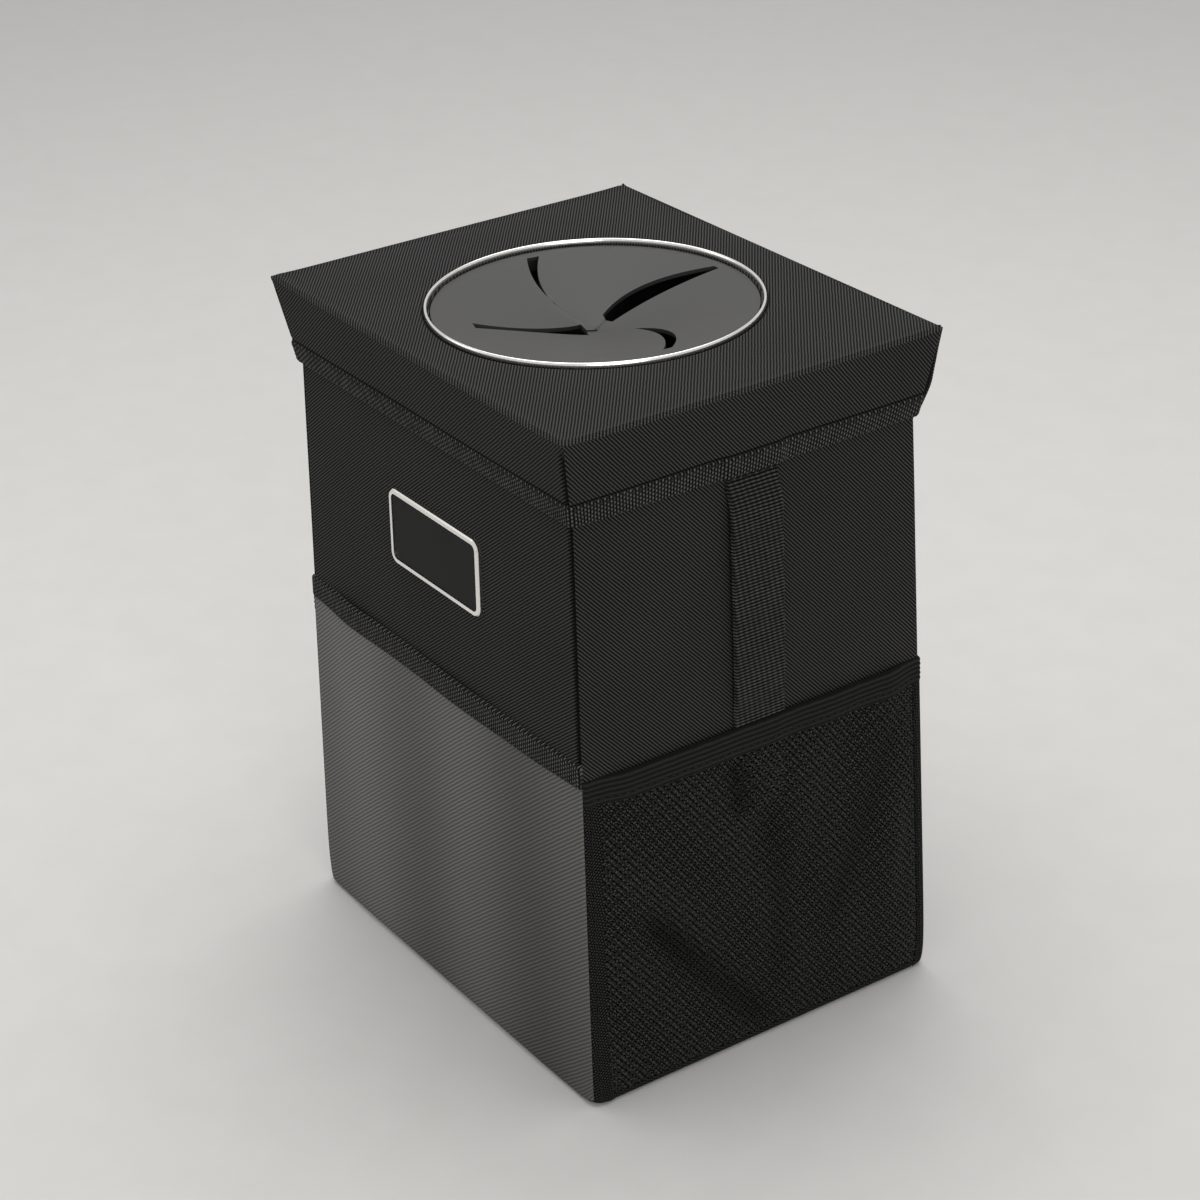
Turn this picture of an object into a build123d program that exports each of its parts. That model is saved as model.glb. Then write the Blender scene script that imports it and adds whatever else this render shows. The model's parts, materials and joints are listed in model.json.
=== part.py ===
from build123d import *
import os
from math import atan2, cos, pi, sin

# A soft-sided bin for a car: twill walls stiffened by boards, a leakproof liner,
# pockets on three sides and a hinged lid with a slit rubber mouth.
# Millimetres. The front faces -Y, the floor is Z = 0 and the lid hinges along the rear edge.

# Overall form
BASE_WIDTH = 204.0
BASE_DEPTH = 164.0
HEIGHT = 280.0  # floor to the crown of the trim ring
WALL_LEAN = 6.0  # each wall leans in by this much between the floor and the rim
LID_OVERHANG = 7.5  # the lid's edge stands this far outside the top of the walls
SKIRT_DROP = 35.0  # lid's top face to the lower edge of its skirt

# Sheet thicknesses
FABRIC = 0.8
WALL_BOARD = 2.2
BASE_BOARD = 2.5
LID_BOARD = 3.0
LINER = 0.5
LINING = 0.6
TAPE = 0.6  # woven binding tape
MESH = 0.8
CLOSURE = 0.8  # hook-and-loop strip
WEBBING = 1.5

# Clearances
LID_GAP = 0.4  # between the closed lid and what it rests on
SKIRT_GAP = 0.7  # between the skirt and the walls
BOARD_FIT = 0.5  # round the lid board and the base board
BOARD_EDGE = 5.0  # wall boards end this far short of the corners, so the cloth can round them
RING_FIT = 0.2  # between the pieces of the mouth
INLAY_FIT = 0.15  # round the badge's inlay

# Binding tapes
RIM_TAPE = 8.0  # how far the tape folds down over the rim
SKIRT_TAPE = 9.0
HINGE_MARGIN = 10.0  # hinge flap sewn flat to the rear wall
CLOSURE_WIDTH = 60.0
CLOSURE_HEIGHT = 8.5

# Front pocket: height up the wall, then how far it stands out there
FRONT_HEM = 8.0
FRONT_HEM_BULGE = 2.0
FRONT_MOUTH = 0.53 * HEIGHT
FRONT_MOUTH_BULGE = 7.6
FRONT_TAPE = 10.0
FRONT_EDGE = 3.0  # its side seams lie this far in from the wall's edges

# Mesh pockets on the sides
MESH_HEM = 8.0
MESH_HEM_BULGE = 2.5
MESH_MOUTH = 0.507 * HEIGHT
MESH_MOUTH_BULGE = 8.2
MESH_BELLY = 0.5 * MESH_MOUTH  # where the mesh bags out most
MESH_BELLY_BULGE = 9.0
MESH_EDGE = 1.0
ELASTIC_HEIGHT = 11.0
ELASTIC_PROUD = 0.4  # elastic stands proud of the mesh on both faces

# Both kinds of pocket
POCKET_FLOOR = 1.0  # pockets start this far above the floor
POCKET_MARGIN = 9.0  # width of the sewn side seams

# Webbing loops on the sides
STRAP_WIDTH = 23.0
STRAP_TUCK = 38.0  # length that reaches down behind the mesh pocket's mouth
STRAP_CLEAR = 2.0  # between its upper end and the lid's skirt
STRAP_SEAT = 22.0  # sewn flat at the lower end
STRAP_TAB = 10.0  # sewn flat at the upper end
STRAP_RISE = 40.0  # length over which the lower end leaves the wall
STRAP_FALL = 26.0  # and over which the upper end comes back to it
STRAP_STANDOFF = 7.0  # clear gap behind the loop
STRAP_BEND = 18.0

# Badge on the front wall
BADGE_WIDTH = 64.0
BADGE_HEIGHT = 31.5
BADGE_DROP = 44.5  # from the lid's skirt down to its middle
BADGE_SHIFT = 4.0  # to the right of the middle
BADGE_CORNER = 4.5
BADGE_RIM = 2.0
BADGE_DEPTH = 2.2
BADGE_BACK = 0.8
BADGE_INLAY = 0.8
BADGE_BEVEL = 0.5

# Mouth of the lid: trim ring, clamp ring and rubber membrane
HOLE_RADIUS = 63.8
RING_COVER = 1.2  # the trim ring reaches this far past the hole's edge
RING_WIDTH = 3.0
RING_RISE = 2.0
RING_FACETS = 3  # flats that make up the ring's rounded crown
RING_LIP = 0.6  # how far the crown's inner edge drops below the fabric
NECK_WALL = 1.0
CLAMP_COVER = 4.0  # the clamp ring reaches this far past the hole's edge
CLAMP_LEDGE = 4.4  # and this far inside it
CLAMP_DEPTH = 3.0
CLAMP_FLOOR = 1.4
MEMBRANE_RIM = 2.0
MEMBRANE_WEB = 1.6
MEMBRANE_DISH = 11.0
SLIT_CLOSED = 0.6  # width where a slit's edges just part
SLIT_HUB = 1.0  # radius of the small hole where the slits meet
# Each slit's direction, its reach as a share of the free rubber's radius, its bow as a share
# of that reach, the share of it that stays shut from the centre, and how wide it gapes at
# the start, middle and end of the rest
SLITS = {
    "rear": (92.0, 0.96, 0.125, 0.11, (5.5, 9.5, 2.5)),
    "left": (172.0, 0.94, 0.125, 0.58, (SLIT_CLOSED, 2.0, 4.0)),
    "front": (252.0, 0.80, 0.06, 0.10, (6.0, 1.8, 1.6)),
    "right": (357.0, 0.86, 0.24, 0.30, (SLIT_CLOSED, 3.6, 3.6)),
}

# Sizes that follow from those above
LID_TOP = HEIGHT - RING_RISE
LID_UNDER = LID_TOP - FABRIC - LID_BOARD - LINING
RIM_TOP = LID_UNDER - LID_GAP
WALL_TOP = RIM_TOP - TAPE
SKIRT_FOOT = LID_TOP - SKIRT_DROP
BOARD_FLOOR = FABRIC + BASE_BOARD
WALL_STACK = FABRIC + WALL_BOARD + LINER
LID_WIDTH = BASE_WIDTH + 2 * (LID_OVERHANG - WALL_LEAN)
LID_DEPTH = BASE_DEPTH + 2 * (LID_OVERHANG - WALL_LEAN)
STRAP_FOOT = MESH_MOUTH - STRAP_TUCK
STRAP_TOP = SKIRT_FOOT - STRAP_CLEAR
BADGE_CENTRE = SKIRT_FOOT - BADGE_DROP
RING_RADIUS = HOLE_RADIUS + RING_COVER
CLAMP_RADIUS = HOLE_RADIUS + CLAMP_COVER
CLAMP_INNER = HOLE_RADIUS - CLAMP_LEDGE
RUBBER_RADIUS = CLAMP_INNER - RING_FIT  # free rubber inside the clamped rim

# Plan corners at the two ends of each side, walking round the bin from the front left
SIDES = {
    "front": ((-1, -1), (1, -1)),
    "right": ((1, -1), (1, 1)),
    "rear": ((1, 1), (-1, 1)),
    "left": ((-1, 1), (-1, -1)),
}
MITRE_OUT = 30.0
MITRE_IN = 40.0


def lean(z):
    """Outward offset of a wall's outer face from the floor outline, at height z."""
    return -WALL_LEAN * z / WALL_TOP


def flare(z):
    """Outward offset of the skirt's outer face from the floor outline, at height z."""
    foot = lean(SKIRT_FOOT) + SKIRT_GAP + TAPE + FABRIC
    top = LID_OVERHANG - WALL_LEAN
    return foot + (top - foot) * (z - SKIRT_FOOT) / SKIRT_DROP


def block(profile, low, high, offset):
    """Four-sided block between two heights whose sides follow a profile."""

    def prism(plane, across):
        foot, head = (across / 2 + profile(z) + offset for z in (low, high))
        outline = Polyline((-foot, low), (foot, low), (head, high), (-head, high), close=True)
        return extrude(plane * make_face(outline), BASE_WIDTH + BASE_DEPTH, both=True)

    return prism(Plane.XZ, BASE_WIDTH) & prism(Plane.YZ, BASE_DEPTH)


def layer(profile, low, high, outer, inner):
    """Four-sided sleeve between an outer and an inner offset from a profile."""
    return block(profile, low, high, outer) - block(profile, low, high, inner)


def mitre(side, short=0):
    """Prism that holds one side of the bin, cut at 45 degrees at the corners or short of them."""
    first, last = (Vector(*ends) for ends in SIDES[side])
    along = (last - first) * 0.5

    def corner(ends, reach, shift):
        out = Vector(ends.X * (BASE_WIDTH / 2 + reach), ends.Y * (BASE_DEPTH / 2 + reach))
        return out + along * shift

    outline = Polyline(
        corner(first, MITRE_OUT, short),
        corner(last, MITRE_OUT, -short),
        corner(last, -MITRE_IN, -short),
        corner(first, -MITRE_IN, short),
        close=True,
    )
    return extrude(make_face(outline), HEIGHT)


def wall_half(side, height):
    """Half the width of a wall at a height."""
    across = BASE_WIDTH if side in ("front", "rear") else BASE_DEPTH
    return across / 2 + lean(height)


def wall_plane(side):
    """Plane on a wall's outer face: x along the wall, y up it and z outwards."""
    first, last = (Vector(*ends) for ends in SIDES[side])
    outward = (first + last) * 0.5
    tilt = atan2(WALL_LEAN, WALL_TOP)
    reach = BASE_DEPTH / 2 if side in ("front", "rear") else BASE_WIDTH / 2
    normal = outward * cos(tilt) + Vector(0, 0, 1) * sin(tilt)
    return Plane(outward * reach, x_dir=last - first, z_dir=normal)


def across_wall(side, height):
    """Plane that cuts across a wall at a height: x along the wall and y outwards."""
    wall = wall_plane(side)
    return Plane(wall.from_local_coords((0, height, 0)), x_dir=wall.x_dir, z_dir=-wall.y_dir)


def sleeve_section(side, height, edge, bulge, skin):
    """Section of a pocket's cloth: a shallow bow with flat seams at its two ends."""
    half = wall_half(side, height) - edge
    outer = ThreePointArc((-half, skin), (0, bulge), (half, skin))
    inner = ThreePointArc((half - POCKET_MARGIN, 0), (0, bulge - skin), (POCKET_MARGIN - half, 0))
    right = Polyline((half, skin), (half, 0), (half - POCKET_MARGIN, 0))
    left = Polyline((POCKET_MARGIN - half, 0), (-half, 0), (-half, skin))
    return across_wall(side, height) * make_face([outer, right, inner, left])


def hem_section(side, height, edge, bulge, skin):
    """Section of a pocket's closed hem: the same bow, filled back to the wall."""
    half = wall_half(side, height) - edge
    outer = ThreePointArc((-half, skin), (0, bulge), (half, skin))
    back = Polyline((half, skin), (half, 0), (-half, 0), (-half, skin))
    return across_wall(side, height) * make_face([outer, back])


def pocket(side, edge, skin, levels):
    """Pocket that is closed at its hem and open at its mouth."""
    hem_height, hem_bulge = levels[0]
    foot = hem_section(side, POCKET_FLOOR, edge, 2 * skin, skin)
    hem = loft([foot, hem_section(side, hem_height, edge, hem_bulge, skin)], ruled=True)
    sections = [sleeve_section(side, height, edge, bulge, skin) for height, bulge in levels]
    return hem + loft(sections, ruled=True)


def mouth_band(side, edge, low, high, bulge, skin):
    """Band along a pocket's mouth, carrying on from the pocket's cloth."""
    return loft([sleeve_section(side, height, edge, bulge, skin) for height in (low, high)], ruled=True)


def wall_pieces():
    """Twill panels, boards, base, liner and the tape that binds them at the rim."""
    panel = layer(lean, FABRIC, WALL_TOP, 0, -FABRIC)
    board = layer(lean, FABRIC, WALL_TOP, -FABRIC, -FABRIC - WALL_BOARD)
    pieces = {}
    for side in SIDES:
        pieces[f"{side}_panel"] = panel & mitre(side)
        pieces[f"{side}_board"] = board & mitre(side, BOARD_EDGE)
    pieces["base_panel"] = extrude(Rectangle(BASE_WIDTH, BASE_DEPTH), FABRIC)
    inset = 2 * (lean(BOARD_FLOOR) - FABRIC - WALL_BOARD - BOARD_FIT)
    base_outline = Plane.XY.offset(FABRIC) * Rectangle(BASE_WIDTH + inset, BASE_DEPTH + inset)
    pieces["base_board"] = extrude(base_outline, BASE_BOARD)
    outside = block(lean, BOARD_FLOOR, WALL_TOP, LINER - WALL_STACK)
    pieces["liner"] = outside - block(lean, BOARD_FLOOR + LINER, WALL_TOP, -WALL_STACK)
    tape = layer(lean, RIM_TOP - RIM_TAPE, RIM_TOP, TAPE, -WALL_STACK - TAPE)
    pieces["rim_binding"] = tape - layer(lean, RIM_TOP - RIM_TAPE, WALL_TOP, 0, -WALL_STACK)
    return pieces


def front_pocket():
    """Twill pocket over the lower half of the front, with a taped mouth."""
    seam = FRONT_MOUTH - FRONT_TAPE
    levels = [(FRONT_HEM, FRONT_HEM_BULGE), (seam, FRONT_MOUTH_BULGE)]
    bulge = FRONT_MOUTH_BULGE + TAPE
    skin = FABRIC + 2 * TAPE
    return {
        "front_pocket": pocket("front", FRONT_EDGE, FABRIC, levels),
        "front_pocket_binding": mouth_band("front", FRONT_EDGE, seam, FRONT_MOUTH, bulge, skin),
    }


def mesh_pocket(side):
    """Baggy mesh pocket with an elastic mouth."""
    seam = MESH_MOUTH - ELASTIC_HEIGHT
    levels = [
        (MESH_HEM, MESH_HEM_BULGE),
        (MESH_BELLY, MESH_BELLY_BULGE),
        (seam, MESH_MOUTH_BULGE),
    ]
    bulge = MESH_MOUTH_BULGE + ELASTIC_PROUD
    skin = MESH + 2 * ELASTIC_PROUD
    return {
        f"{side}_mesh_pocket": pocket(side, MESH_EDGE, MESH, levels),
        f"{side}_elastic": mouth_band(side, MESH_EDGE, seam, MESH_MOUTH, bulge, skin),
    }


def strap_loop(side):
    """Webbing sewn flat at both ends that stands off the wall between them."""
    wall = wall_plane(side)
    flat = WEBBING / 2
    proud = STRAP_STANDOFF + WEBBING / 2
    route = [
        (STRAP_FOOT, flat),
        (STRAP_FOOT + STRAP_SEAT, flat),
        (STRAP_FOOT + STRAP_SEAT + STRAP_RISE, proud),
        (STRAP_TOP - STRAP_TAB - STRAP_FALL, proud),
        (STRAP_TOP - STRAP_TAB, flat),
        (STRAP_TOP, flat),
    ]
    path = FilletPolyline(*(wall.from_local_coords((0, up, out)) for up, out in route), radius=STRAP_BEND)
    start = Plane(path @ 0, x_dir=wall.x_dir, z_dir=path % 0)
    return {f"{side}_strap": sweep(start * Rectangle(STRAP_WIDTH, WEBBING), path=path)}


def badge():
    """Shallow metal tray with a raised rim, and the bare dark inlay that sits in it."""
    seat = wall_plane("front").location * Pos(BADGE_SHIFT, BADGE_CENTRE, 0)
    inner_width = BADGE_WIDTH - 2 * BADGE_RIM
    inner_height = BADGE_HEIGHT - 2 * BADGE_RIM
    inner_corner = BADGE_CORNER - BADGE_RIM
    tray = extrude(RectangleRounded(BADGE_WIDTH, BADGE_HEIGHT, BADGE_CORNER), BADGE_DEPTH)
    tray = chamfer(tray.edges().group_by(Axis.Z)[-1], BADGE_BEVEL)
    well = Plane.XY.offset(BADGE_BACK) * RectangleRounded(inner_width, inner_height, inner_corner)
    tray -= extrude(well, BADGE_DEPTH)
    trim = 2 * INLAY_FIT
    inlay = RectangleRounded(inner_width - trim, inner_height - trim, inner_corner - INLAY_FIT)
    inlay = extrude(Plane.XY.offset(BADGE_BACK) * inlay, BADGE_INLAY)
    return {"badge_frame": seat * tray, "badge_insert": seat * inlay}


def hinge_flap():
    """Fabric hinge: sewn flat to the rear wall, then flaring up to the lid's rear edge."""
    foot = SKIRT_FOOT - HINGE_MARGIN
    top = LID_TOP - FABRIC - LID_GAP
    half = BASE_WIDTH / 2 + lean(SKIRT_FOOT)
    inner = [
        (BASE_DEPTH / 2 + lean(foot), foot),
        (BASE_DEPTH / 2 + lean(SKIRT_FOOT), SKIRT_FOOT),
        (LID_DEPTH / 2 - FABRIC, top),
    ]
    outer = [(y + FABRIC, z) for y, z in reversed(inner)]
    strip = Plane.YZ * make_face(Polyline(*inner, *outer, close=True))
    return {"hinge_flap": extrude(strip, half, both=True)}


def closure():
    """Hook-and-loop strip that holds the lid's front skirt to the front wall."""
    foot = SKIRT_FOOT + SKIRT_TAPE + TAPE
    top = foot + CLOSURE_HEIGHT
    span = Pos(0, -BASE_DEPTH / 2, HEIGHT / 2) * Box(CLOSURE_WIDTH, BASE_DEPTH / 2, HEIGHT)
    return {
        "closure_loop": layer(lean, foot, top, CLOSURE, 0) & span,
        "closure_hook": layer(flare, foot, top, -FABRIC, -FABRIC - CLOSURE) & span,
    }


def lid_pieces():
    """Lid's cover, board and lining, its three skirt panels and their binding tape."""
    hole = Pos(0, 0, LID_TOP) * Cylinder(HOLE_RADIUS, SKIRT_DROP)
    cover = extrude(Plane.XY.offset(LID_TOP) * Rectangle(LID_WIDTH, LID_DEPTH), -FABRIC)
    inset = 2 * (flare(LID_UNDER) - FABRIC - BOARD_FIT)
    outline = Rectangle(BASE_WIDTH + inset, BASE_DEPTH + inset)
    board = extrude(Plane.XY.offset(LID_TOP - FABRIC) * outline, -LID_BOARD)
    lining = extrude(Plane.XY.offset(LID_UNDER) * outline, LINING)
    panel = layer(flare, SKIRT_FOOT + TAPE, LID_TOP - FABRIC, 0, -FABRIC)
    tape_top = SKIRT_FOOT + SKIRT_TAPE
    tape = layer(flare, SKIRT_FOOT, tape_top, TAPE, -FABRIC - TAPE)
    tape -= layer(flare, SKIRT_FOOT + TAPE, tape_top, 0, -FABRIC)
    pieces = {
        "lid_cover": cover - hole,
        "lid_board": board - hole,
        "lid_lining": lining - hole,
        "skirt_binding": tape - mitre("rear"),
    }
    for side in ("front", "left", "right"):
        pieces[f"skirt_{side}"] = panel & mitre(side)
    return pieces


def spin(outline):
    """Turn a profile of radius and height about the mouth's axis."""
    return revolve(Plane.XZ * make_face(outline), Axis.Z)


def mouth_rings():
    """Trim ring with its neck, and the clamp ring that snaps onto it from below."""
    neck_outer = HOLE_RADIUS - RING_FIT
    neck_inner = neck_outer - NECK_WALL
    ring_inner = RING_RADIUS - RING_WIDTH
    lip = LID_TOP - RING_LIP
    clamp_floor = LID_UNDER - CLAMP_DEPTH
    channel = clamp_floor + CLAMP_FLOOR
    neck_foot = channel + RING_FIT
    crown = []
    for step in range(RING_FACETS + 1):
        turn = pi * step / RING_FACETS
        radius = RING_RADIUS - RING_WIDTH / 2 * (1 - cos(turn))
        crown.append((radius, LID_TOP + RING_RISE * sin(turn)))
    crown[-1] = (ring_inner, lip)
    trim = Polyline(
        *crown,
        (neck_inner, lip),
        (neck_inner, neck_foot),
        (neck_outer, neck_foot),
        (neck_outer, LID_TOP),
        close=True,
    )
    clamp = Polyline(
        (CLAMP_INNER, clamp_floor),
        (CLAMP_RADIUS, clamp_floor),
        (CLAMP_RADIUS, LID_UNDER),
        (neck_outer + RING_FIT, LID_UNDER),
        (neck_outer + RING_FIT, channel),
        (neck_inner - RING_FIT, channel),
        (neck_inner - RING_FIT, lip - MEMBRANE_RIM),
        (CLAMP_INNER, lip - MEMBRANE_RIM),
        close=True,
    )
    return {"trim_ring": spin(trim), "clamp_ring": spin(clamp)}


def slit(direction, reach_share, bow_share, shut, gapes):
    """Plan outline of one bowed slit: a fine cut from the centre that opens into a gape."""
    reach = reach_share * RUBBER_RADIUS
    line = ThreePointArc((0, 0), (reach / 2, bow_share * reach), (reach, 0))

    def beside(share, offset):
        point, along = line @ share, line % share
        return (point.X - along.Y * offset, point.Y + along.X * offset)

    def strip(start, widths):
        shares = (start, (start + 1) / 2, 1)
        left = [beside(share, width / 2) for share, width in zip(shares, widths)]
        right = [beside(share, -width / 2) for share, width in zip(shares, widths)]
        sides = [ThreePointArc(*left), ThreePointArc(*right)]
        return make_face(sides + [Line(left[0], right[0]), Line(left[-1], right[-1])])

    fine_cut = strip(0, (SLIT_CLOSED, SLIT_CLOSED, SLIT_CLOSED))
    return Rot(0, 0, direction) * (fine_cut + strip(shut, gapes))


def iris_membrane():
    """Dished rubber disc with a thick clamped rim and four bowed slits that meet inside."""
    rim_outer = HOLE_RADIUS - NECK_WALL - 2 * RING_FIT
    rim_top = LID_TOP - RING_LIP
    rim_foot = rim_top - MEMBRANE_RIM
    centre = rim_top - MEMBRANE_DISH
    profile = Polyline(
        (0, centre),
        (RUBBER_RADIUS, rim_top),
        (rim_outer, rim_top),
        (rim_outer, rim_foot),
        (RUBBER_RADIUS, rim_foot),
        (0, centre - MEMBRANE_WEB),
        close=True,
    )
    disc = spin(profile)
    cuts = Circle(SLIT_HUB)
    for sizes in SLITS.values():
        cuts += slit(*sizes)
    return {"iris_membrane": disc - extrude(cuts, HEIGHT)}


def all_pieces():
    """Every piece of the bin, by name."""
    pieces = {}
    pieces.update(wall_pieces())
    pieces.update(front_pocket())
    for side in ("right", "left"):
        pieces.update(mesh_pocket(side))
        pieces.update(strap_loop(side))
    pieces.update(badge())
    pieces.update(hinge_flap())
    pieces.update(closure())
    pieces.update(lid_pieces())
    pieces.update(mouth_rings())
    pieces.update(iris_membrane())
    return pieces


os.makedirs("parts", exist_ok=True)
for name, piece in all_pieces().items():
    export_step(piece, f"parts/{name}.step")
print(f"lid hinge axis: y {LID_DEPTH / 2:.2f}, z {LID_TOP:.2f}")
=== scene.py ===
# %% [markdown]
# # A soft bin for a car, dressed over its CAD frame
# The bin is a box of black twill with boards between the cloth and a liner, pockets on three sides and a
# lid whose round mouth is closed by slit rubber. The CAD frame holds the true sizes. This lesson keeps the
# stiff pieces of that frame and makes every soft piece again as cloth, tape, net, webbing or rubber, in the
# same place.

# %% Load the fixed frame
import json
import math
from functools import partial

import bmesh
import bpy
import numpy as np
from mathutils import Matrix, Vector, geometry


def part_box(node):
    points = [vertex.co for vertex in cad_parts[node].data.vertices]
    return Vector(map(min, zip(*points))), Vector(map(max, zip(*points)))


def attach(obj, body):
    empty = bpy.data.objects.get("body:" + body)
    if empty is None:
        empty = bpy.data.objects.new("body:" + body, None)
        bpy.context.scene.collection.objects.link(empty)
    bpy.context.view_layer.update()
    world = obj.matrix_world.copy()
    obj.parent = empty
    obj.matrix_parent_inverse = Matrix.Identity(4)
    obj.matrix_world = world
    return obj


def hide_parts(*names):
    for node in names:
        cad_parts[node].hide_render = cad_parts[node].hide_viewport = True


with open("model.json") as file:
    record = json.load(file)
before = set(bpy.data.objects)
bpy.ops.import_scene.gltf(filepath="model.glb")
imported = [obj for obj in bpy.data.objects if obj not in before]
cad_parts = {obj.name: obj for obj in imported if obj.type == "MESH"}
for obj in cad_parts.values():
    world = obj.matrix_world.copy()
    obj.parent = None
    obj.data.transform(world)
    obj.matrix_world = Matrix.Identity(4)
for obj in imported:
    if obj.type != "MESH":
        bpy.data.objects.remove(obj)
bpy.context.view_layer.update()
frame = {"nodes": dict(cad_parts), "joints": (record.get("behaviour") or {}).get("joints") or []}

MM = 0.001

# %% [markdown]
# ## Sizes from the frame
# Nothing is measured twice: each size below is read from the box of a CAD node, so the cloth follows the
# frame when the frame changes. Only the softness, such as how far a corner is rounded, is chosen here.

# %% Read the sizes of the bin and its lid
LOW = {node: np.array(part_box(node)[0]) for node in frame["nodes"]}
HIGH = {node: np.array(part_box(node)[1]) for node in frame["nodes"]}
HALF_WIDTH, HALF_DEPTH = HIGH["base_panel"][:2]
CLOTH = HIGH["base_panel"][2] - LOW["base_panel"][2]
WALL_TOP = HIGH["front_panel"][2]
LEAN = HIGH["front_panel"][1] - LOW["front_panel"][1] - CLOTH
RIM_TOP, RIM_FOOT = HIGH["rim_binding"][2], LOW["rim_binding"][2]
TAPE = HIGH["rim_binding"][0] - HALF_WIDTH + LEAN * RIM_FOOT / WALL_TOP
LID_TOP = HIGH["lid_cover"][2]
LID_HALF = HIGH["lid_cover"][:2]
LID_OUT = LID_HALF[0] - HALF_WIDTH
SKIRT_FOOT, SKIRT_TAPE_TOP = LOW["skirt_binding"][2], HIGH["skirt_binding"][2]
SKIRT_HANG = 1.0 * MM  # the soft skirt hangs this much closer to the wall at its foot
SKIRT_SLOPE = ((LID_HALF[0] + TAPE - HIGH["skirt_binding"][0]) / (LID_TOP - SKIRT_TAPE_TOP)
               + SKIRT_HANG / (LID_TOP - SKIRT_FOOT))
HINGE = frame["joints"][0]["pos_m"]
RING_RADIUS = HIGH["trim_ring"][0]
CORNER = 2.2 * MM  # rounding of the upright corners
FOOT_CORNER = 5.5 * MM  # and at the floor, where the cloth is pulled under
HEEL = 2.4 * MM  # rounding where a wall turns under the base
AXES = {  # each side's direction along it and out of it
    "front": ((1, 0), (0, -1)),
    "right": ((0, 1), (1, 0)),
    "rear": ((-1, 0), (0, 1)),
    "left": ((0, -1), (-1, 0)),
}
print("walls %.0f x %.0f mm, lean %.1f mm, lid top %.0f mm" % tuple(
    v / MM for v in (2 * HALF_WIDTH, 2 * HALF_DEPTH, LEAN, LID_TOP)))

# %% Helpers for places on the bin
ARC_STEPS = 7  # points round half a corner
FLAT_STEPS = 76  # points across a panel, closer together near its corners


def half_sizes(side):
    """Half the length of a wall and its distance from the middle, at the floor."""
    return (HALF_WIDTH, HALF_DEPTH) if side in ("front", "rear") else (HALF_DEPTH, HALF_WIDTH)


def wall_in(z):
    """Offset of a wall's outer face from the floor outline at a height."""
    return -LEAN * np.asarray(z) / WALL_TOP


def flare(z):
    """Offset of the lid skirt's outer face from the floor outline at a height."""
    return LID_OUT - SKIRT_SLOPE * (LID_TOP - np.asarray(z))


def on_side(side, u, out, z):
    """World points from a place along a wall, a distance from the middle and a height."""
    along, outward = AXES[side]
    u, out, z = np.broadcast_arrays(u, out, z)
    return np.stack([along[0] * u + outward[0] * out, along[1] * u + outward[1] * out, z], -1)


def on_wall(side, u, off, z, lift=0.0):
    """World points off a wall's outer face at a height, lifted from there."""
    return on_side(side, u, half_sizes(side)[1] + wall_in(z) + off, z + lift)


def cross_row(half, corner, step=None):
    """Rows across a side: half a rounded corner, the flat, half a rounded corner."""
    turn = np.linspace(math.pi / 4, math.pi / 2, ARC_STEPS)
    arc_u, arc_drop = half - corner + corner * np.cos(turn), corner - corner * np.sin(turn)
    flat = half - corner
    if step is None:
        run = flat * np.sin(np.linspace(-math.pi / 2, math.pi / 2, FLAT_STEPS))
    else:
        run = np.linspace(-flat, flat, int(2 * flat / step))
    run = run[..., 1:-1]
    u = np.concatenate([-arc_u, run, arc_u[..., ::-1]], -1)
    return u, np.concatenate([arc_drop, 0 * run, arc_drop[..., ::-1]], -1)


def ramp(x):
    """Straight step from 0 to 1."""
    return np.clip(x, 0, 1)


def ease(x):
    """Smooth step from 0 to 1."""
    return ramp(x) ** 2 * (3 - 2 * ramp(x))


def soft_noise(u, v, size, seed):
    """Smooth waves between about -1 and 1 with a fixed seed."""
    rng = np.random.default_rng(seed)
    total = 0
    for _ in range(7):
        kx, ky = rng.normal(0, 1.6 / size, 2)
        total = total + np.sin(kx * u + ky * v + rng.uniform(0, 2 * math.pi))
    return total / 3.2


def ribs_uv(s, t, degrees):
    """Cloth coordinates in metres, the first along the weave's ribs and the second across them."""
    c, w = math.cos(math.radians(degrees)), math.sin(math.radians(degrees))
    return np.stack(np.broadcast_arrays(s * c + t * w, t * c - s * w), -1)


# %% Helpers that turn rows of points into pieces
SHARP_ANGLE = math.radians(50)  # an edge that turns more than this stays crisp


def new_piece(name, verts, edges, faces):
    """A mesh object at the origin."""
    mesh = bpy.data.meshes.new(name)
    mesh.from_pydata(verts, edges, faces)
    piece = bpy.data.objects.new(name, mesh)
    bpy.context.scene.collection.objects.link(piece)
    return piece


def mark_points(piece, name, values):
    """Store a number or a vector on every point of a piece."""
    values = np.asarray(values, np.float32)
    vector = values.size == 3 * len(piece.data.vertices)
    layer = piece.data.attributes.new(name, "FLOAT_VECTOR" if vector else "FLOAT", "POINT")
    layer.data.foreach_set("vector" if vector else "value", values.ravel())


def mark_weave(piece, corners):
    """Store the cloth coordinates of every face's corners."""
    piece.data.uv_layers.new(name="weave").data.foreach_set("uv", corners.astype(np.float32).ravel())


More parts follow.
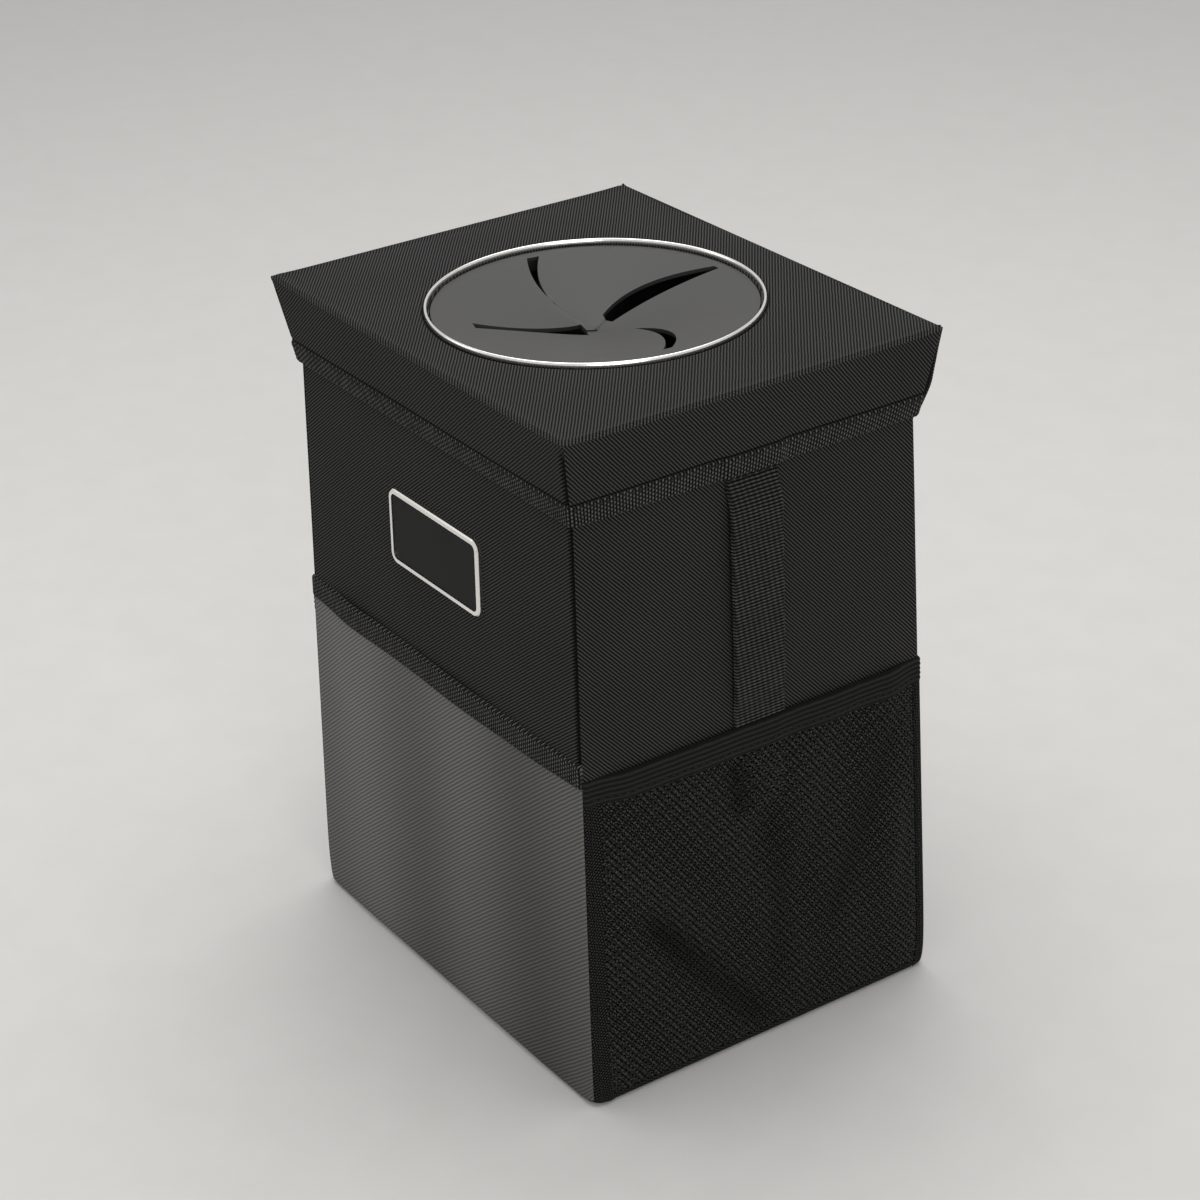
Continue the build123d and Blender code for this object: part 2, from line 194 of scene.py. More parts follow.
def grid_piece(name, points, uv, wrap=False, caps="", shade=None):
    """Piece of quads from rows of points. The columns may close into a loop, with capped ends."""
    rows, cols = points.shape[:2]
    i, j = np.meshgrid(np.arange(rows - 1), np.arange(cols if wrap else cols - 1), indexing="ij")
    k = (j + 1) % cols
    quads = np.stack([i * cols + j, i * cols + k, (i + 1) * cols + k, (i + 1) * cols + j], -1)
    faces = quads.reshape(-1, 4).tolist()
    if wrap:
        uv = np.concatenate([uv, uv[:, :1]], 1)
    corners = np.stack([uv[i, j], uv[i, j + 1], uv[i + 1, j + 1], uv[i + 1, j]], -2).reshape(-1, 2)
    if caps:
        faces.append(list(range(cols))[::-1])
        corners = np.concatenate([corners, uv[0, :cols][::-1]])
    if caps == "both":
        faces.append(list(range((rows - 1) * cols, rows * cols)))
        corners = np.concatenate([corners, uv[-1, :cols]])
    piece = new_piece(name, points.reshape(-1, 3).tolist(), [], faces)
    mark_weave(piece, corners)
    if shade is not None:
        mark_points(piece, "shade", ramp(np.broadcast_to(shade, (rows, cols))))
    piece.data.shade_smooth()
    return piece


def freeze(piece):
    """Turn a piece with modifiers into a plain mesh."""
    graph = bpy.context.evaluated_depsgraph_get()
    mesh = bpy.data.meshes.new_from_object(
        piece.evaluated_get(graph), preserve_all_data_layers=True, depsgraph=graph)
    piece.modifiers.clear()
    piece.data = mesh
    mesh.name = piece.name
    return piece


def thicken(piece, depth):
    """Give a sheet its thickness on the side away from its normals."""
    solid = piece.modifiers.new("thickness", "SOLIDIFY")
    solid.thickness = depth
    solid.offset = -1
    return freeze(piece)


def close_seam(piece):
    """Join the first and last rows of a piece that runs all the way round."""
    mesh = bmesh.new()
    mesh.from_mesh(piece.data)
    bmesh.ops.remove_doubles(mesh, verts=mesh.verts, dist=1e-6)
    bmesh.ops.recalc_face_normals(mesh, faces=mesh.faces)
    mesh.to_mesh(piece.data)


def dress(piece, finish, body, slot, *stands_for):
    """Give a piece its finish and the body it rides on, and hide the CAD nodes it stands for."""
    piece.data.materials.clear()
    piece.data.materials.append(finish)
    piece.data.set_sharp_from_angle(angle=SHARP_ANGLE)
    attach(piece, body)
    if stands_for:
        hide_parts(*stands_for)
    print(f"{piece.name}: {len(piece.data.polygons)} faces on {body}")
    return piece


def cloth_piece(name, points, uv, depth, finish, body, slot, *stands_for, flip=False, **grid):
    """A sheet from rows of points, with its thickness, finish and place."""
    piece = grid_piece(name, points, uv, **grid)
    if flip:
        piece.data.flip_normals()
    return dress(thicken(piece, depth), finish, body, slot, *stands_for)


# %% [markdown]
# ## Woven finishes
# The twill is a heavy polyester cloth: slanting ribs about 1.1 mm apart, with dark valleys between them. A
# picture of cloth would do, but ribs worked out from the cloth coordinates stay sharp at any size and
# follow each panel. One function makes all the woven finishes: ribs across one coordinate, broken into
# threads along the other. The colour follows the height of the weave, lighter on the ribs and darker in the
# valleys: partly the weave's own pattern, partly painted highlight and painted shade. Where a piece carries
# an attribute named shade, as in the bottom of a seam, the colour there is darkened towards black: painted
# shade.

# %% Helpers for node trees
def add_node(tree, kind, inputs=None, **settings):
    """Add a shader or geometry node, with its settings and unlinked inputs, or links from sockets."""
    node = tree.nodes.new(kind)
    for key, value in settings.items():
        setattr(node, key, value)
    for key, value in (inputs or {}).items():
        if isinstance(value, bpy.types.NodeSocket):
            tree.links.new(value, node.inputs[key])
        else:
            node.inputs[key].default_value = value
    return node


def math_node(tree, operation, *values):
    """A math node fed by sockets or numbers."""
    return add_node(tree, "ShaderNodeMath", dict(enumerate(values)), operation=operation).outputs[0]


def noise(tree, place, scale, detail):
    """Cloudy noise between 0 and 1."""
    inputs = {"Vector": place, "Scale": scale, "Detail": detail}
    return add_node(tree, "ShaderNodeTexNoise", inputs).outputs[0]


def mix_colour(tree, share, first, second):
    """Colour between two colours, or sockets, by a share from 0 to 1."""
    ends = {"Factor": share, "A": first, "B": second}
    return add_node(tree, "ShaderNodeMix", ends, data_type="RGBA").outputs["Result"]


def weave_height(tree, cloth, pitch, thread, stagger, broken, wander=0.0):
    """Height of a weave from 0 to 1: ribs a pitch apart, broken into threads along their length."""
    calc = partial(math_node, tree)
    parts = add_node(tree, "ShaderNodeSeparateXYZ", {0: cloth}).outputs
    row = calc("DIVIDE", parts[1], pitch)
    rib = calc("MULTIPLY_ADD", calc("SINE", calc("MULTIPLY_ADD", row, 2 * math.pi, wander)), 0.5, 0.5)
    step = calc("MULTIPLY", calc("FLOOR", row), stagger)
    turn = calc("MULTIPLY_ADD", calc("DIVIDE", parts[0], thread), 2 * math.pi, step)
    knot = calc("MULTIPLY_ADD", calc("SINE", turn), 0.5 * broken, 1 - 0.5 * broken)
    return calc("MULTIPLY", rib, knot)


# %% A function for woven finishes
WARM = np.array([1.0, 0.985, 0.955])  # the greys are slightly warm
# the black that painted shade darkens the cloth towards
PAINTED_SHADE_BLACK = (0.0004, 0.0004, 0.0004, 1)
WEAVE_BUMP, GRAIN_BUMP = 0.25 * MM, 0.1 * MM


def new_finish(name, roughness, **sockets):
    """An empty finish with its shader; a constant goes straight on the shader's socket."""
    finish = bpy.data.materials.new(name)
    finish.use_nodes = True
    shader = finish.node_tree.nodes["Principled BSDF"]
    shader.inputs["Roughness"].default_value = roughness
    for key, value in sockets.items():
        shader.inputs[key.replace("_", " ")].default_value = value
    return finish, finish.node_tree, shader


def grey_between(tree, share, dark, light):
    """Colour between two warm greys by a share from 0 to 1."""
    return mix_colour(tree, share, (*(dark * WARM), 1), (*(light * WARM), 1))


def coat(tree, shader, colour, height, bump, distance):
    """Connect a finish's colour and relief to its shader."""
    lift = add_node(tree, "ShaderNodeBump", {"Height": height, "Strength": bump, "Distance": distance})
    tree.links.new(colour, shader.inputs["Base Color"])
    tree.links.new(lift.outputs[0], shader.inputs["Normal"])


def woven(name, dark, light, pitch, thread, broken, bump, roughness=0.9, stagger=2.1):
    """Woven finish with wandering ribs, fine fuzz and cloudy patches."""
    finish, tree, shader = new_finish(name, roughness, Sheen_Weight=0.02, Sheen_Roughness=0.5,
                                      Specular_IOR_Level=0.06)
    calc = partial(math_node, tree)
    cloth = add_node(tree, "ShaderNodeUVMap", uv_map="weave").outputs[0]
    wander = calc("MULTIPLY", calc("SUBTRACT", noise(tree, cloth, 220.0, 3.0), 0.5), 2.4)
    height = weave_height(tree, cloth, pitch, thread, stagger, broken, wander)
    patch = calc("MULTIPLY_ADD", noise(tree, cloth, 24.0, 2.0), 0.3, 0.62)
    fuzz = calc("MULTIPLY_ADD", noise(tree, cloth, 1500.0, 2.0), 0.35, patch)
    # colour follows the weave's height: lighter ribs and dark valleys, partly the weave's own pattern, partly
    # painted highlight and painted shade
    share = calc("MULTIPLY", calc("POWER", height, 1.45), fuzz)
    # the shade attribute darkens the colour towards black: painted shade in grooves and creases, and painted
    # light and shade across the front pocket
    painted_shade = add_node(tree, "ShaderNodeAttribute", attribute_name="shade").outputs["Fac"]
    colour = mix_colour(tree, painted_shade, grey_between(tree, share, dark, light), PAINTED_SHADE_BLACK)
    coat(tree, shader, colour, height, bump, WEAVE_BUMP)
    return finish


# %% The woven finishes of the bin
# A weave is its rib spacing, its thread length and the turn of the pattern from one rib to the next, in
# radians. A finish adds its darkest and lightest grey, how far its ribs are broken into threads, and its
# bump.
TAPE_WEAVE = {"pitch": 1.35 * MM, "thread": 1.7 * MM, "stagger": math.pi}
WEBBING_WEAVE = {"pitch": 1.32 * MM, "thread": 2.4 * MM, "stagger": 0.5}
ELASTIC_WEAVE = {"pitch": 2.0 * MM, "thread": 3.0 * MM, "stagger": math.pi}
BLACK_TWILL = woven("black_twill", 0.0005, 0.077, 1.12 * MM, 1.0 * MM, 0.3, 0.6)
GREY_TWILL = woven("grey_twill", 0.097, 0.25, 1.4 * MM, 1.1 * MM, 0.25, 0.4)
BINDING_TAPE = woven("binding_tape", 0.0005, 0.15, broken=0.8, bump=0.5, **TAPE_WEAVE)
WEBBING = woven("webbing", 0.0005, 0.09, broken=0.4, bump=0.6, **WEBBING_WEAVE)
ELASTIC = woven("elastic", 0.007, 0.028, 2.0 * MM, 0.7 * MM, 0.4, 0.3)
NET_CORD = woven("net_cord", 0.003, 0.075, 1.07 * MM, 1.3 * MM, 0.6, 0.4, roughness=0.6)
HEM_CLOTH = woven("hem_cloth", 0.001, 0.06, 1.1 * MM, 1.2 * MM, 0.9, 0.4)
LID_LINING = woven("lid_lining", 0.02, 0.035, 0.9 * MM, 0.9 * MM, 0.8, 0.2, roughness=0.6)
HOOK_PILE = woven("hook_pile", 0.005, 0.02, 1.2 * MM, 1.2 * MM, 0.6, 0.5, roughness=0.7)
print("woven finishes ready")

# %% [markdown]
# ## Moulded, metal and film finishes
# The rubber, the plastic clamp ring and the liner are smooth but never perfect: a fine grain, a slight
# change of shade and uneven gloss. The ring and the badge's frame are satin bright metal. Object
# coordinates hold the grain.

# %% Finishes for the smooth pieces
GLOSS_SPREAD = 0.12  # how far the roughness changes over a piece


def grained(name, dark, light, grain, roughness, bump, **sockets):
    """Smooth finish with a fine grain, cloudy shade and uneven gloss."""
    finish, tree, shader = new_finish(name, roughness, **sockets)
    calc = partial(math_node, tree)
    place = add_node(tree, "ShaderNodeTexCoord").outputs["Object"]
    fine, cloud = noise(tree, place, grain, 4.0), noise(tree, place, 35.0, 3.0)
    share = calc("MULTIPLY_ADD", fine, 0.3, calc("MULTIPLY", cloud, 0.7))
    gloss = calc("MULTIPLY_ADD", cloud, GLOSS_SPREAD, roughness - 0.5 * GLOSS_SPREAD)
    tree.links.new(gloss, shader.inputs["Roughness"])
    coat(tree, shader, grey_between(tree, share, dark, light), fine, bump, GRAIN_BUMP)
    return finish


# The numbers are the darkest and lightest grey, the scale of the grain, the roughness and the bump.
GREY_RUBBER = grained("grey_rubber", 0.018, 0.035, 2200.0, 0.5, 0.12)
BRIGHT_METAL = grained("bright_metal", 0.78, 0.9, 900.0, 0.2, 0.03, Metallic=1.0)
BADGE_INLAY = grained("badge_inlay", 0.004, 0.009, 1800.0, 0.45, 0.05, Specular_IOR_Level=0.08)
CLAMP_PLASTIC = grained("clamp_plastic", 0.012, 0.022, 1600.0, 0.5, 0.15)
BOARD = grained("stiff_board", 0.04, 0.07, 700.0, 0.6, 0.1)
LINER_FILM = grained("liner_film", 0.09, 0.13, 300.0, 0.38, 0.25, Coat_Weight=0.1)
THREAD = grained("thread", 0.003, 0.012, 3000.0, 0.6, 0.3, Specular_IOR_Level=0.2)
print("smooth finishes ready")

# %% [markdown]
# ## Walls
# Each wall is one panel of twill pulled over a board. The upright corners are rounded, a little more at the
# floor, and the cloth turns under the base. A row of points goes across each panel from the middle of one
# corner to the middle of the next, so that neighbours meet on a seam, and rows are stacked from the floor
# to the rim. The front and rear panels sink beside each upright seam, and the side panels end there in a
# crisp edge.

# %% Helpers for the foot, the corners and the seams
GROOVE_PAINTED_SHADE = 0.9  # how far painted shade darkens the cloth in the bottom of a seam or groove


def corner_at(z):
    """Radius of the upright corners at a height."""
    return CORNER + (FOOT_CORNER - CORNER) * np.exp(-z / (8 * MM))


def heel_in(z):
    """How far the cloth is turned under the base at a height."""
    return HEEL - np.sqrt(np.maximum(HEEL ** 2 - np.maximum(HEEL - z, 0) ** 2, 0))


def corner_lift(room, z):
    """How far the cloth is pulled up near a corner of the floor, so that the corner is a soft ball."""
    pull = 0.5 * MM + 4.5 * MM * (1 - np.exp(-z / (2.5 * MM)))
    return pull * np.exp(-room / (3 * MM) - z / (8 * MM))


def ridge(place, middle, width, power=4):
    """Share of a ridge or a groove across the cloth: 1 along its middle, 0 beside it."""
    return np.exp(-(((place - middle) / width) ** power))


# %% Wall panels
WALL_SOFT = 0.3 * MM  # waves of the stretched cloth
WALL_GROOVE = 1.0 * MM
RIB_ANGLE = {"front": 37, "right": -48, "rear": 37, "left": -48}
heel_turn = np.linspace(math.pi / 2, 0, 5)
wall_rows = np.concatenate([HEEL * (1 - np.sin(heel_turn)), np.linspace(HEEL, WALL_TOP, 64)[1:]])[:, None]


def wall_panel(side, seed):
    """One wall's cloth, turned under at the floor."""
    z, half = wall_rows, half_sizes(side)[0]
    end, corner = half + wall_in(z) - heel_in(z), corner_at(z) - heel_in(z)
    u, drop = cross_row(end, corner)
    room = end - np.abs(u)
    calm = ramp((half - np.abs(u)) / (30 * MM)) * ramp(z / (40 * MM)) * ramp((SKIRT_FOOT - z) / (30 * MM))
    soft = WALL_SOFT * (1 + soft_noise(u, z, 60 * MM, seed)) * calm
    # the front and rear panels sink beside each upright seam, and the groove is darkened there: painted shade
    groove = ridge(room - corner, -0.5 * MM, 1.0 * MM) * ramp(z / (10 * MM)) * (side in ("front", "rear"))
    points = on_wall(side, u, soft - heel_in(z) - drop - WALL_GROOVE * groove, z, corner_lift(room, z))
    piece = cloth_piece(f"{side}_wall_cloth", points, ribs_uv(u, z, RIB_ANGLE[side]), CLOTH, BLACK_TWILL,
                        "bin", "black_twill", f"{side}_panel", shade=GROOVE_PAINTED_SHADE * groove)


for number, side in enumerate(AXES):
    wall_panel(side, 11 + number)

# %% [markdown]
# The base is one flat panel with rounded corners. Nested outlines that shrink to the middle keep its edge
# smooth.

# %% Base panel
def around(offset, corner, step, z=0.0, sides=tuple(AXES)):
    """Points along several sides at an offset from the floor outline, joined at their corners."""
    loop = []
    for side in sides:
        half, face = half_sizes(side)
        u, drop = cross_row(half + offset, corner, step)
        loop.append(on_side(side, u, face + offset - drop, z)[:-1])
    if len(sides) < len(AXES):
        loop.append(on_side(side, u[-1:], face + offset - drop[-1:], z))
    return np.concatenate(loop)


edge = around(-HEEL, FOOT_CORNER - HEEL, 4 * MM)
room = np.maximum(HALF_WIDTH - HEEL - np.abs(edge[:, 0]), HALF_DEPTH - HEEL - np.abs(edge[:, 1]))
lift = corner_lift(room, 0.0)
rings = np.array([edge * share for share in (0.01, 0.2, 0.5, 0.8, 0.985, 1)])
rings[-1, :, 2], rings[-2, :, 2] = lift, 0.5 * lift
base = cloth_piece("base_cloth", rings, ribs_uv(rings[..., 0], rings[..., 1], 40), CLOTH, BLACK_TWILL,
                   "bin", "black_twill", "base_panel", wrap=True, caps="first")

# %% [markdown]
# ## Woven relief with geometry nodes
# Binding tape, elastic and webbing are woven narrow, with ribs that stand up far enough to catch light.
# Each band is first a plain loop swept along its path, carrying its cloth coordinates. One node tree then
# lifts the ribs along the surface, so the same tree serves every band with its own rib spacing.

# %% Helpers for geometry nodes
def new_tree(name, **inputs):
    """A geometry node tree with named inputs, and its input and output sockets."""
    tree = bpy.data.node_groups.new(name, "GeometryNodeTree")
    tree.interface.new_socket(name="Geometry", in_out="INPUT", socket_type="NodeSocketGeometry")
    for key, kind in inputs.items():
        tree.interface.new_socket(name=key, in_out="INPUT", socket_type="NodeSocket" + kind)
    tree.interface.new_socket(name="Geometry", in_out="OUTPUT", socket_type="NodeSocketGeometry")
    return tree, tree.nodes.new("NodeGroupInput").outputs, tree.nodes.new("NodeGroupOutput").inputs


def end_tree(tree, shape, given, result):
    """End a tree: real geometry instead of instances, and the finish."""
    real = add_node(tree, "GeometryNodeRealizeInstances", {0: shape})
    done = add_node(tree, "GeometryNodeSetMaterial", {
        "Geometry": real.outputs[0], "Material": given["Finish"]})
    tree.links.new(done.outputs[0], result[0])
    print(f"{tree.name} tree: {len(tree.nodes)} nodes")


def run_tree(piece, tree, **values):
    """Run a node tree on a piece with named inputs and keep the result as a plain mesh."""
    step = piece.modifiers.new(tree.name, "NODES")
    step.node_group = tree
    for socket in tree.interface.items_tree:
        if socket.in_out == "INPUT" and socket.name in values:
            step[socket.identifier] = values[socket.name]
    return freeze(piece)


# %% Geometry nodes: ribs on a band
RELIEF, given, result = new_tree("woven_relief", Pitch="Float", Thread="Float", Stagger="Float",
                                 Height="Float", Finish="Material")
named = "GeometryNodeInputNamedAttribute"
cloth = add_node(RELIEF, named, {"Name": "weave_at"}, data_type="FLOAT_VECTOR").outputs[0]
share = add_node(RELIEF, named, {"Name": "relief"}, data_type="FLOAT").outputs[0]
height = weave_height(RELIEF, cloth, given["Pitch"], given["Thread"], given["Stagger"], broken=0.4)
lift = math_node(RELIEF, "MULTIPLY", math_node(RELIEF, "MULTIPLY", height, given["Height"]), share)
normal = add_node(RELIEF, "GeometryNodeInputNormal").outputs[0]
push = add_node(RELIEF, "ShaderNodeVectorMath", {0: normal, "Scale": lift}, operation="SCALE").outputs[0]
moved = add_node(RELIEF, "GeometryNodeSetPosition", {"Geometry": given["Geometry"], "Offset": push})
end_tree(RELIEF, moved.outputs[0], given, result)

# %% Helpers for bands
RIB_HEIGHT = 0.35 * MM
TAPE_STEPS, BACK_STEPS = 22, 6  # points across the face and the back of a band


def band_loop(width, steps, squareness=12):
    """Loop round a band's section: places across it from the top, and its swell from 0 at the back to 1."""
    front = np.linspace(0.5, -0.5, steps) * width
    swell = np.sqrt(ramp(1 - np.abs(2 * front / width) ** squareness))
    back = np.linspace(-0.5, 0.5, BACK_STEPS)[1:-1] * width
    return np.concatenate([front, back]), np.concatenate([swell, 0 * back])


def run_length(points):
    """Distance along a row of points."""
    return np.concatenate([[0], np.cumsum(np.linalg.norm(np.diff(points, axis=0), axis=1))])


def resample(points, count):
    """The same line with a fixed number of points."""
    run = run_length(points)
    at = np.linspace(0, run[-1], count)
    return np.stack([np.interp(at, run, points[:, k]) for k in range(3)], -1)


def closed(loop):
    """A loop that ends on its first point."""
    return np.concatenate([loop, loop[:1]])


def band(name, points, along, across, swell, finish, pitch, thread, stagger,
         height=RIB_HEIGHT, lengthwise=False):
    """Woven band from rows of points, its ribs across it or along it."""
    s, t = np.broadcast_arrays(along[:, None], across[None, :])
    uv = np.stack([s, t] if lengthwise else [t, s], -1)
    piece = grid_piece(name, points, uv, wrap=True, caps="both")
    mark_points(piece, "weave_at", np.concatenate([uv, 0 * uv[..., :1]], -1))
    mark_points(piece, "relief", np.broadcast_to(swell, s.shape))
    return run_tree(piece, RELIEF, Pitch=pitch, Thread=thread, Stagger=stagger, Height=height, Finish=finish)


# %% [markdown]
# ## Liner and rim
# The liner is a waterproof film, welded into a bag and pushed into the corners, so it has soft creases.
# Tape folded over the top edge holds cloth, board and film together.

# %% Liner bag
FILM = 0.5 * MM
FILM_CREASE = 1.6 * MM
LINER_CORNER = 5 * MM
LINER_FOOT = LOW["liner"][2]
LINER_SET = HALF_WIDTH + wall_in(LINER_FOOT) - HIGH["liner"][0]


def liner_ring(z, step_in=0.0):
    """One loop of the liner's outer face, creased inward."""
    loop = around(wall_in(z) - LINER_SET - step_in, LINER_CORNER, 3.4 * MM)
    place = np.arctan2(loop[:, 1], loop[:, 0]) * 90 * MM
    crease = FILM_CREASE * ramp(soft_noise(place, z, 40 * MM, 3)) * ramp((RIM_FOOT - 6 * MM - z) / (40 * MM))
    loop = loop * (1 - (crease / np.linalg.norm(loop, axis=1)))[:, None]
    loop[:, 2] = z
    return loop


levels = [(LINER_FOOT + LINER_CORNER * (1 - math.sin(a)), LINER_CORNER * (1 - math.cos(a)))
          for a in heel_turn]
levels += [(z, 0.0) for z in np.linspace(LINER_FOOT + LINER_CORNER, WALL_TOP, 60)[1:]]
count = len(liner_ring(100 * MM))  # points in each loop
loops = [resample(closed(liner_ring(*level)), count + 1)[:-1] for level in levels]
loops = np.array([loops[0] * (share, share, 1) for share in (0.02, 0.2, 0.4, 0.6, 0.8, 0.95)] + loops)
liner = cloth_piece("liner_bag", loops, loops[..., :2], FILM, LINER_FILM, "bin", "liner_film", "liner",
                    wrap=True, caps="first")

# %% Rim binding
RIM_MIDDLE = (LINER_SET + FILM) / 2  # of the cloth, board and film, in from the wall's face
RIM_HALF = TAPE + RIM_MIDDLE
RIM_ROUND, RIM_BEND = 1.2 * MM, 0.35 * MM  # where the tape's edge starts to turn, and half way round
outer = [(RIM_HALF, RIM_FOOT), (RIM_HALF, RIM_TOP - RIM_ROUND), (RIM_HALF - RIM_BEND, RIM_TOP - RIM_BEND),
         (RIM_HALF - RIM_ROUND, RIM_TOP)]
section = np.array([(-off, z) for off, z in outer] + outer[::-1]) - (RIM_MIDDLE, 0)
loops = [closed(around(wall_in(z) + off, CORNER, 3 * MM, z)) for off, z in section]
count = min(len(loop) for loop in loops) - 1
points = np.stack([resample(loop, count) for loop in loops], 1)
s, t = np.broadcast_arrays(run_length(points[:, 0])[:, None], section[:, 0] - section[:, 1])
rim = grid_piece("rim_tape", points, np.stack([t, s], -1), wrap=True)
close_seam(rim)
dress(rim, BINDING_TAPE, "bin", "binding_tape", "rim_binding")

# %% [markdown]
# ## Front pocket
# A flat pocket of grey twill covers the lower half of the front. It is sewn at the sides and the floor, so
# it lies flat there and lifts gently towards the mouth, with soft upright folds. A woven tape closes the
# mouth edge.

# %% Shape of the front pocket
POCKET_LIFT = (1.6 * MM, 2.0 * MM)  # off the wall at the floor and at the mouth
POCKET_SKIN = 0.25 * MM  # outside the wall cloth at the seams
POCKET_FOLD, POCKET_WAVE = 1.1 * MM, 0.5 * MM  # broad folds and small waves
POCKET_FOOT, MOUTH_TOP = LOW["front_pocket"][2], HIGH["front_pocket_binding"][2]
POCKET_TOP = MOUTH_TOP - 10 * MM  # the tape covers the cloth above this


def pocket_bands(u, z):
    """Broad upright folds of the pocket, 1 on a ridge and -1 between two."""
    return np.cos(2 * math.pi * (u + 57 * MM + 0.06 * z) / (82 * MM))


def front_pocket_out(u, z):
    """How far the front pocket's outer face stands off the wall."""
    room = HALF_WIDTH + wall_in(z) - np.abs(u)
    up = ramp((z - POCKET_FOOT) / (POCKET_TOP - POCKET_FOOT))
    lift = POCKET_LIFT[0] + (POCKET_LIFT[1] - POCKET_LIFT[0]) * up
    folds = POCKET_FOLD * pocket_bands(u, z) + POCKET_WAVE * soft_noise(u, 0.12 * z, 38 * MM, 23)
    folds = folds * ease(up * 1.8) * (1 - 0.6 * ease(up * 4 - 3))
    return POCKET_SKIN + (lift + folds) * ease((room - 1 * MM) / (38 * MM)) * ease(z / (9 * MM) + 0.1)


def mouth_band(name, side, foot, top, stand, depth, sink, steps, step, finish, slot, node, **weave):
    """Woven band along a pocket's mouth, sunk a little into the pocket's face."""
    across, swell = band_loop(top - foot, steps)
    z = (top + foot) / 2 + across
    end = half_sizes(side)[0] + wall_in(top) + POCKET_SKIN
    u, drop = (row[:, None] for row in cross_row(end, CORNER, step))
    points = on_wall(side, u, stand(u, z) - drop + depth * swell - sink, z)
    piece = band(name, points, run_length(points[:, 0]), across, swell, finish, **weave)
    dress(piece, finish, "bin", slot, node)


print("front pocket stands %.1f mm off the wall at its mouth" % (front_pocket_out(0.0, POCKET_TOP) / MM))

# %% Front pocket cloth and mouth tape
z = np.linspace(POCKET_FOOT + 0.7 * MM, POCKET_TOP + 1 * MM, 56)[:, None]
end = HALF_WIDTH + wall_in(z) + POCKET_SKIN
u, drop = cross_row(end, corner_at(z))
points = on_wall("front", u, front_pocket_out(u, z) - drop - heel_in(z), z, corner_lift(end - np.abs(u), z))
# painted light and shade on the pocket: lighter on the ridges of its folds and towards the left and the top,
# darker between the folds and towards the right and the foot
shade = 0.34 - 0.11 * pocket_bands(u, z) + 0.18 * u / HALF_WIDTH - 0.16 * z / POCKET_TOP
pocket = cloth_piece("front_pocket_cloth", points, ribs_uv(u, z, 38), CLOTH, GREY_TWILL, "bin", "grey_twill",
                     "front_pocket", shade=shade)
mouth_band("front_pocket_tape", "front", POCKET_TOP, MOUTH_TOP, front_pocket_out, depth=2.0 * MM,
           sink=1.4 * MM, steps=TAPE_STEPS, step=0.42 * MM, finish=BINDING_TAPE, slot="binding_tape",
           node="front_pocket_binding", **TAPE_WEAVE)

# %% [markdown]
# ## Net pockets
# Each side has a pocket of knitted net. A lattice of diamonds is laid over the pocket's shape, and a node
# tree turns every diamond into a frame of cord by shrinking a copy of it and taking the middle out. The net
# is gathered by the elastic, so slanting folds run down from the mouth. Bands of doubled cloth hem its
# upright edges and its foot.

# %% Geometry nodes: knitted net
NET, given, result = new_tree("knitted_net", Opening="Float", Finish="Material")
copy = add_node(NET, "GeometryNodeExtrudeMesh", {
    "Mesh": given["Geometry"], "Offset Scale": 0.0, "Individual": True}, mode="FACES")
shrunk = add_node(NET, "GeometryNodeScaleElements", {
    "Geometry": copy.outputs["Mesh"], "Selection": copy.outputs["Top"], "Scale": given["Opening"]})
frames = add_node(NET, "GeometryNodeDeleteGeometry", {
    "Geometry": shrunk.outputs[0], "Selection": copy.outputs["Top"]}, domain="FACE")
end_tree(NET, frames.outputs[0], given, result)

# %% Shape of the net pockets
NET_FOOT = LOW["right_mesh_pocket"][2]
ELASTIC_FOOT, ELASTIC_TOP = LOW["right_elastic"][2], HIGH["right_elastic"][2]
NET_CREASES = [  # depth in millimetres, the two ends in millimetres and the width of each fold in the net
    (2.4, (-54, 74), (-2, 8), 5.5 * MM),
    (2.0, (-12, 128), (-10, 106), 5 * MM),
    (1.0, (4, 100), (7, 24), 6 * MM),
    (1.3, (62, 120), (30, 40), 7 * MM),
]


def crease(u, z, start, end, width):
    """Share of a straight crease between two places: 1 along its middle, fading at its ends."""
    (a, b), (c, d) = np.array(start) * MM, np.array(end) * MM
    long = math.hypot(c - a, d - b)
    along = ((u - a) * (c - a) + (z - b) * (d - b)) / long ** 2
    off = ((u - a) * (d - b) - (z - b) * (c - a)) / long
    return np.exp(-((off / width) ** 2)) * ease(4 * along + 0.5) * ease(4.5 - 4 * along)


def net_creases(side, u, z):
    """Depth of all the creases in a net, in millimetres; the left net mirrors the right one."""
    lean = u if side == "right" else -u
    return sum(deep * crease(lean, z, *place) for deep, *place in NET_CREASES)


def net_out(side, u, z):
    """How far a net pocket stands off its wall."""
    room = HALF_DEPTH + wall_in(z) - np.abs(u)
    lean = u if side == "right" else -u
    up = ramp((z - NET_FOOT) / (ELASTIC_TOP - NET_FOOT))
    belly = (1.6 + 1.8 * np.sin(math.pi * up) + 1.0 * up) * MM
    slant = lean + 0.42 * (ELASTIC_TOP - z)
    gather = ease((lean + 45 * MM) / (60 * MM)) * ease(up * 1.5)
    folds = 1.3 * np.sin(2 * math.pi * slant / (31 * MM) + 0.8) * gather
    folds = folds + 0.6 * soft_noise(u, z, 30 * MM, 31) * ease(up * 3) - net_creases(side, u, z)
    folds = folds * MM * (1 - 0.85 * ease(up * 5 - 4))
    stand = np.maximum(belly + folds, 0.7 * MM)
    return POCKET_SKIN + stand * ease((room - 3 * MM) / (17 * MM)) * ease(z / (12 * MM))


print("nets stand %.1f mm off the walls at half height" % (net_out("right", 0.0, ELASTIC_TOP / 2) / MM))

# %% Net of cord
NET_CELL = (3.2 * MM, 3.4 * MM)
NET_OPENING = 0.72
NET_CORD_DEPTH = 0.45 * MM
NET_EDGE = 2 * MM  # the net ends this far from its corner and its mouth


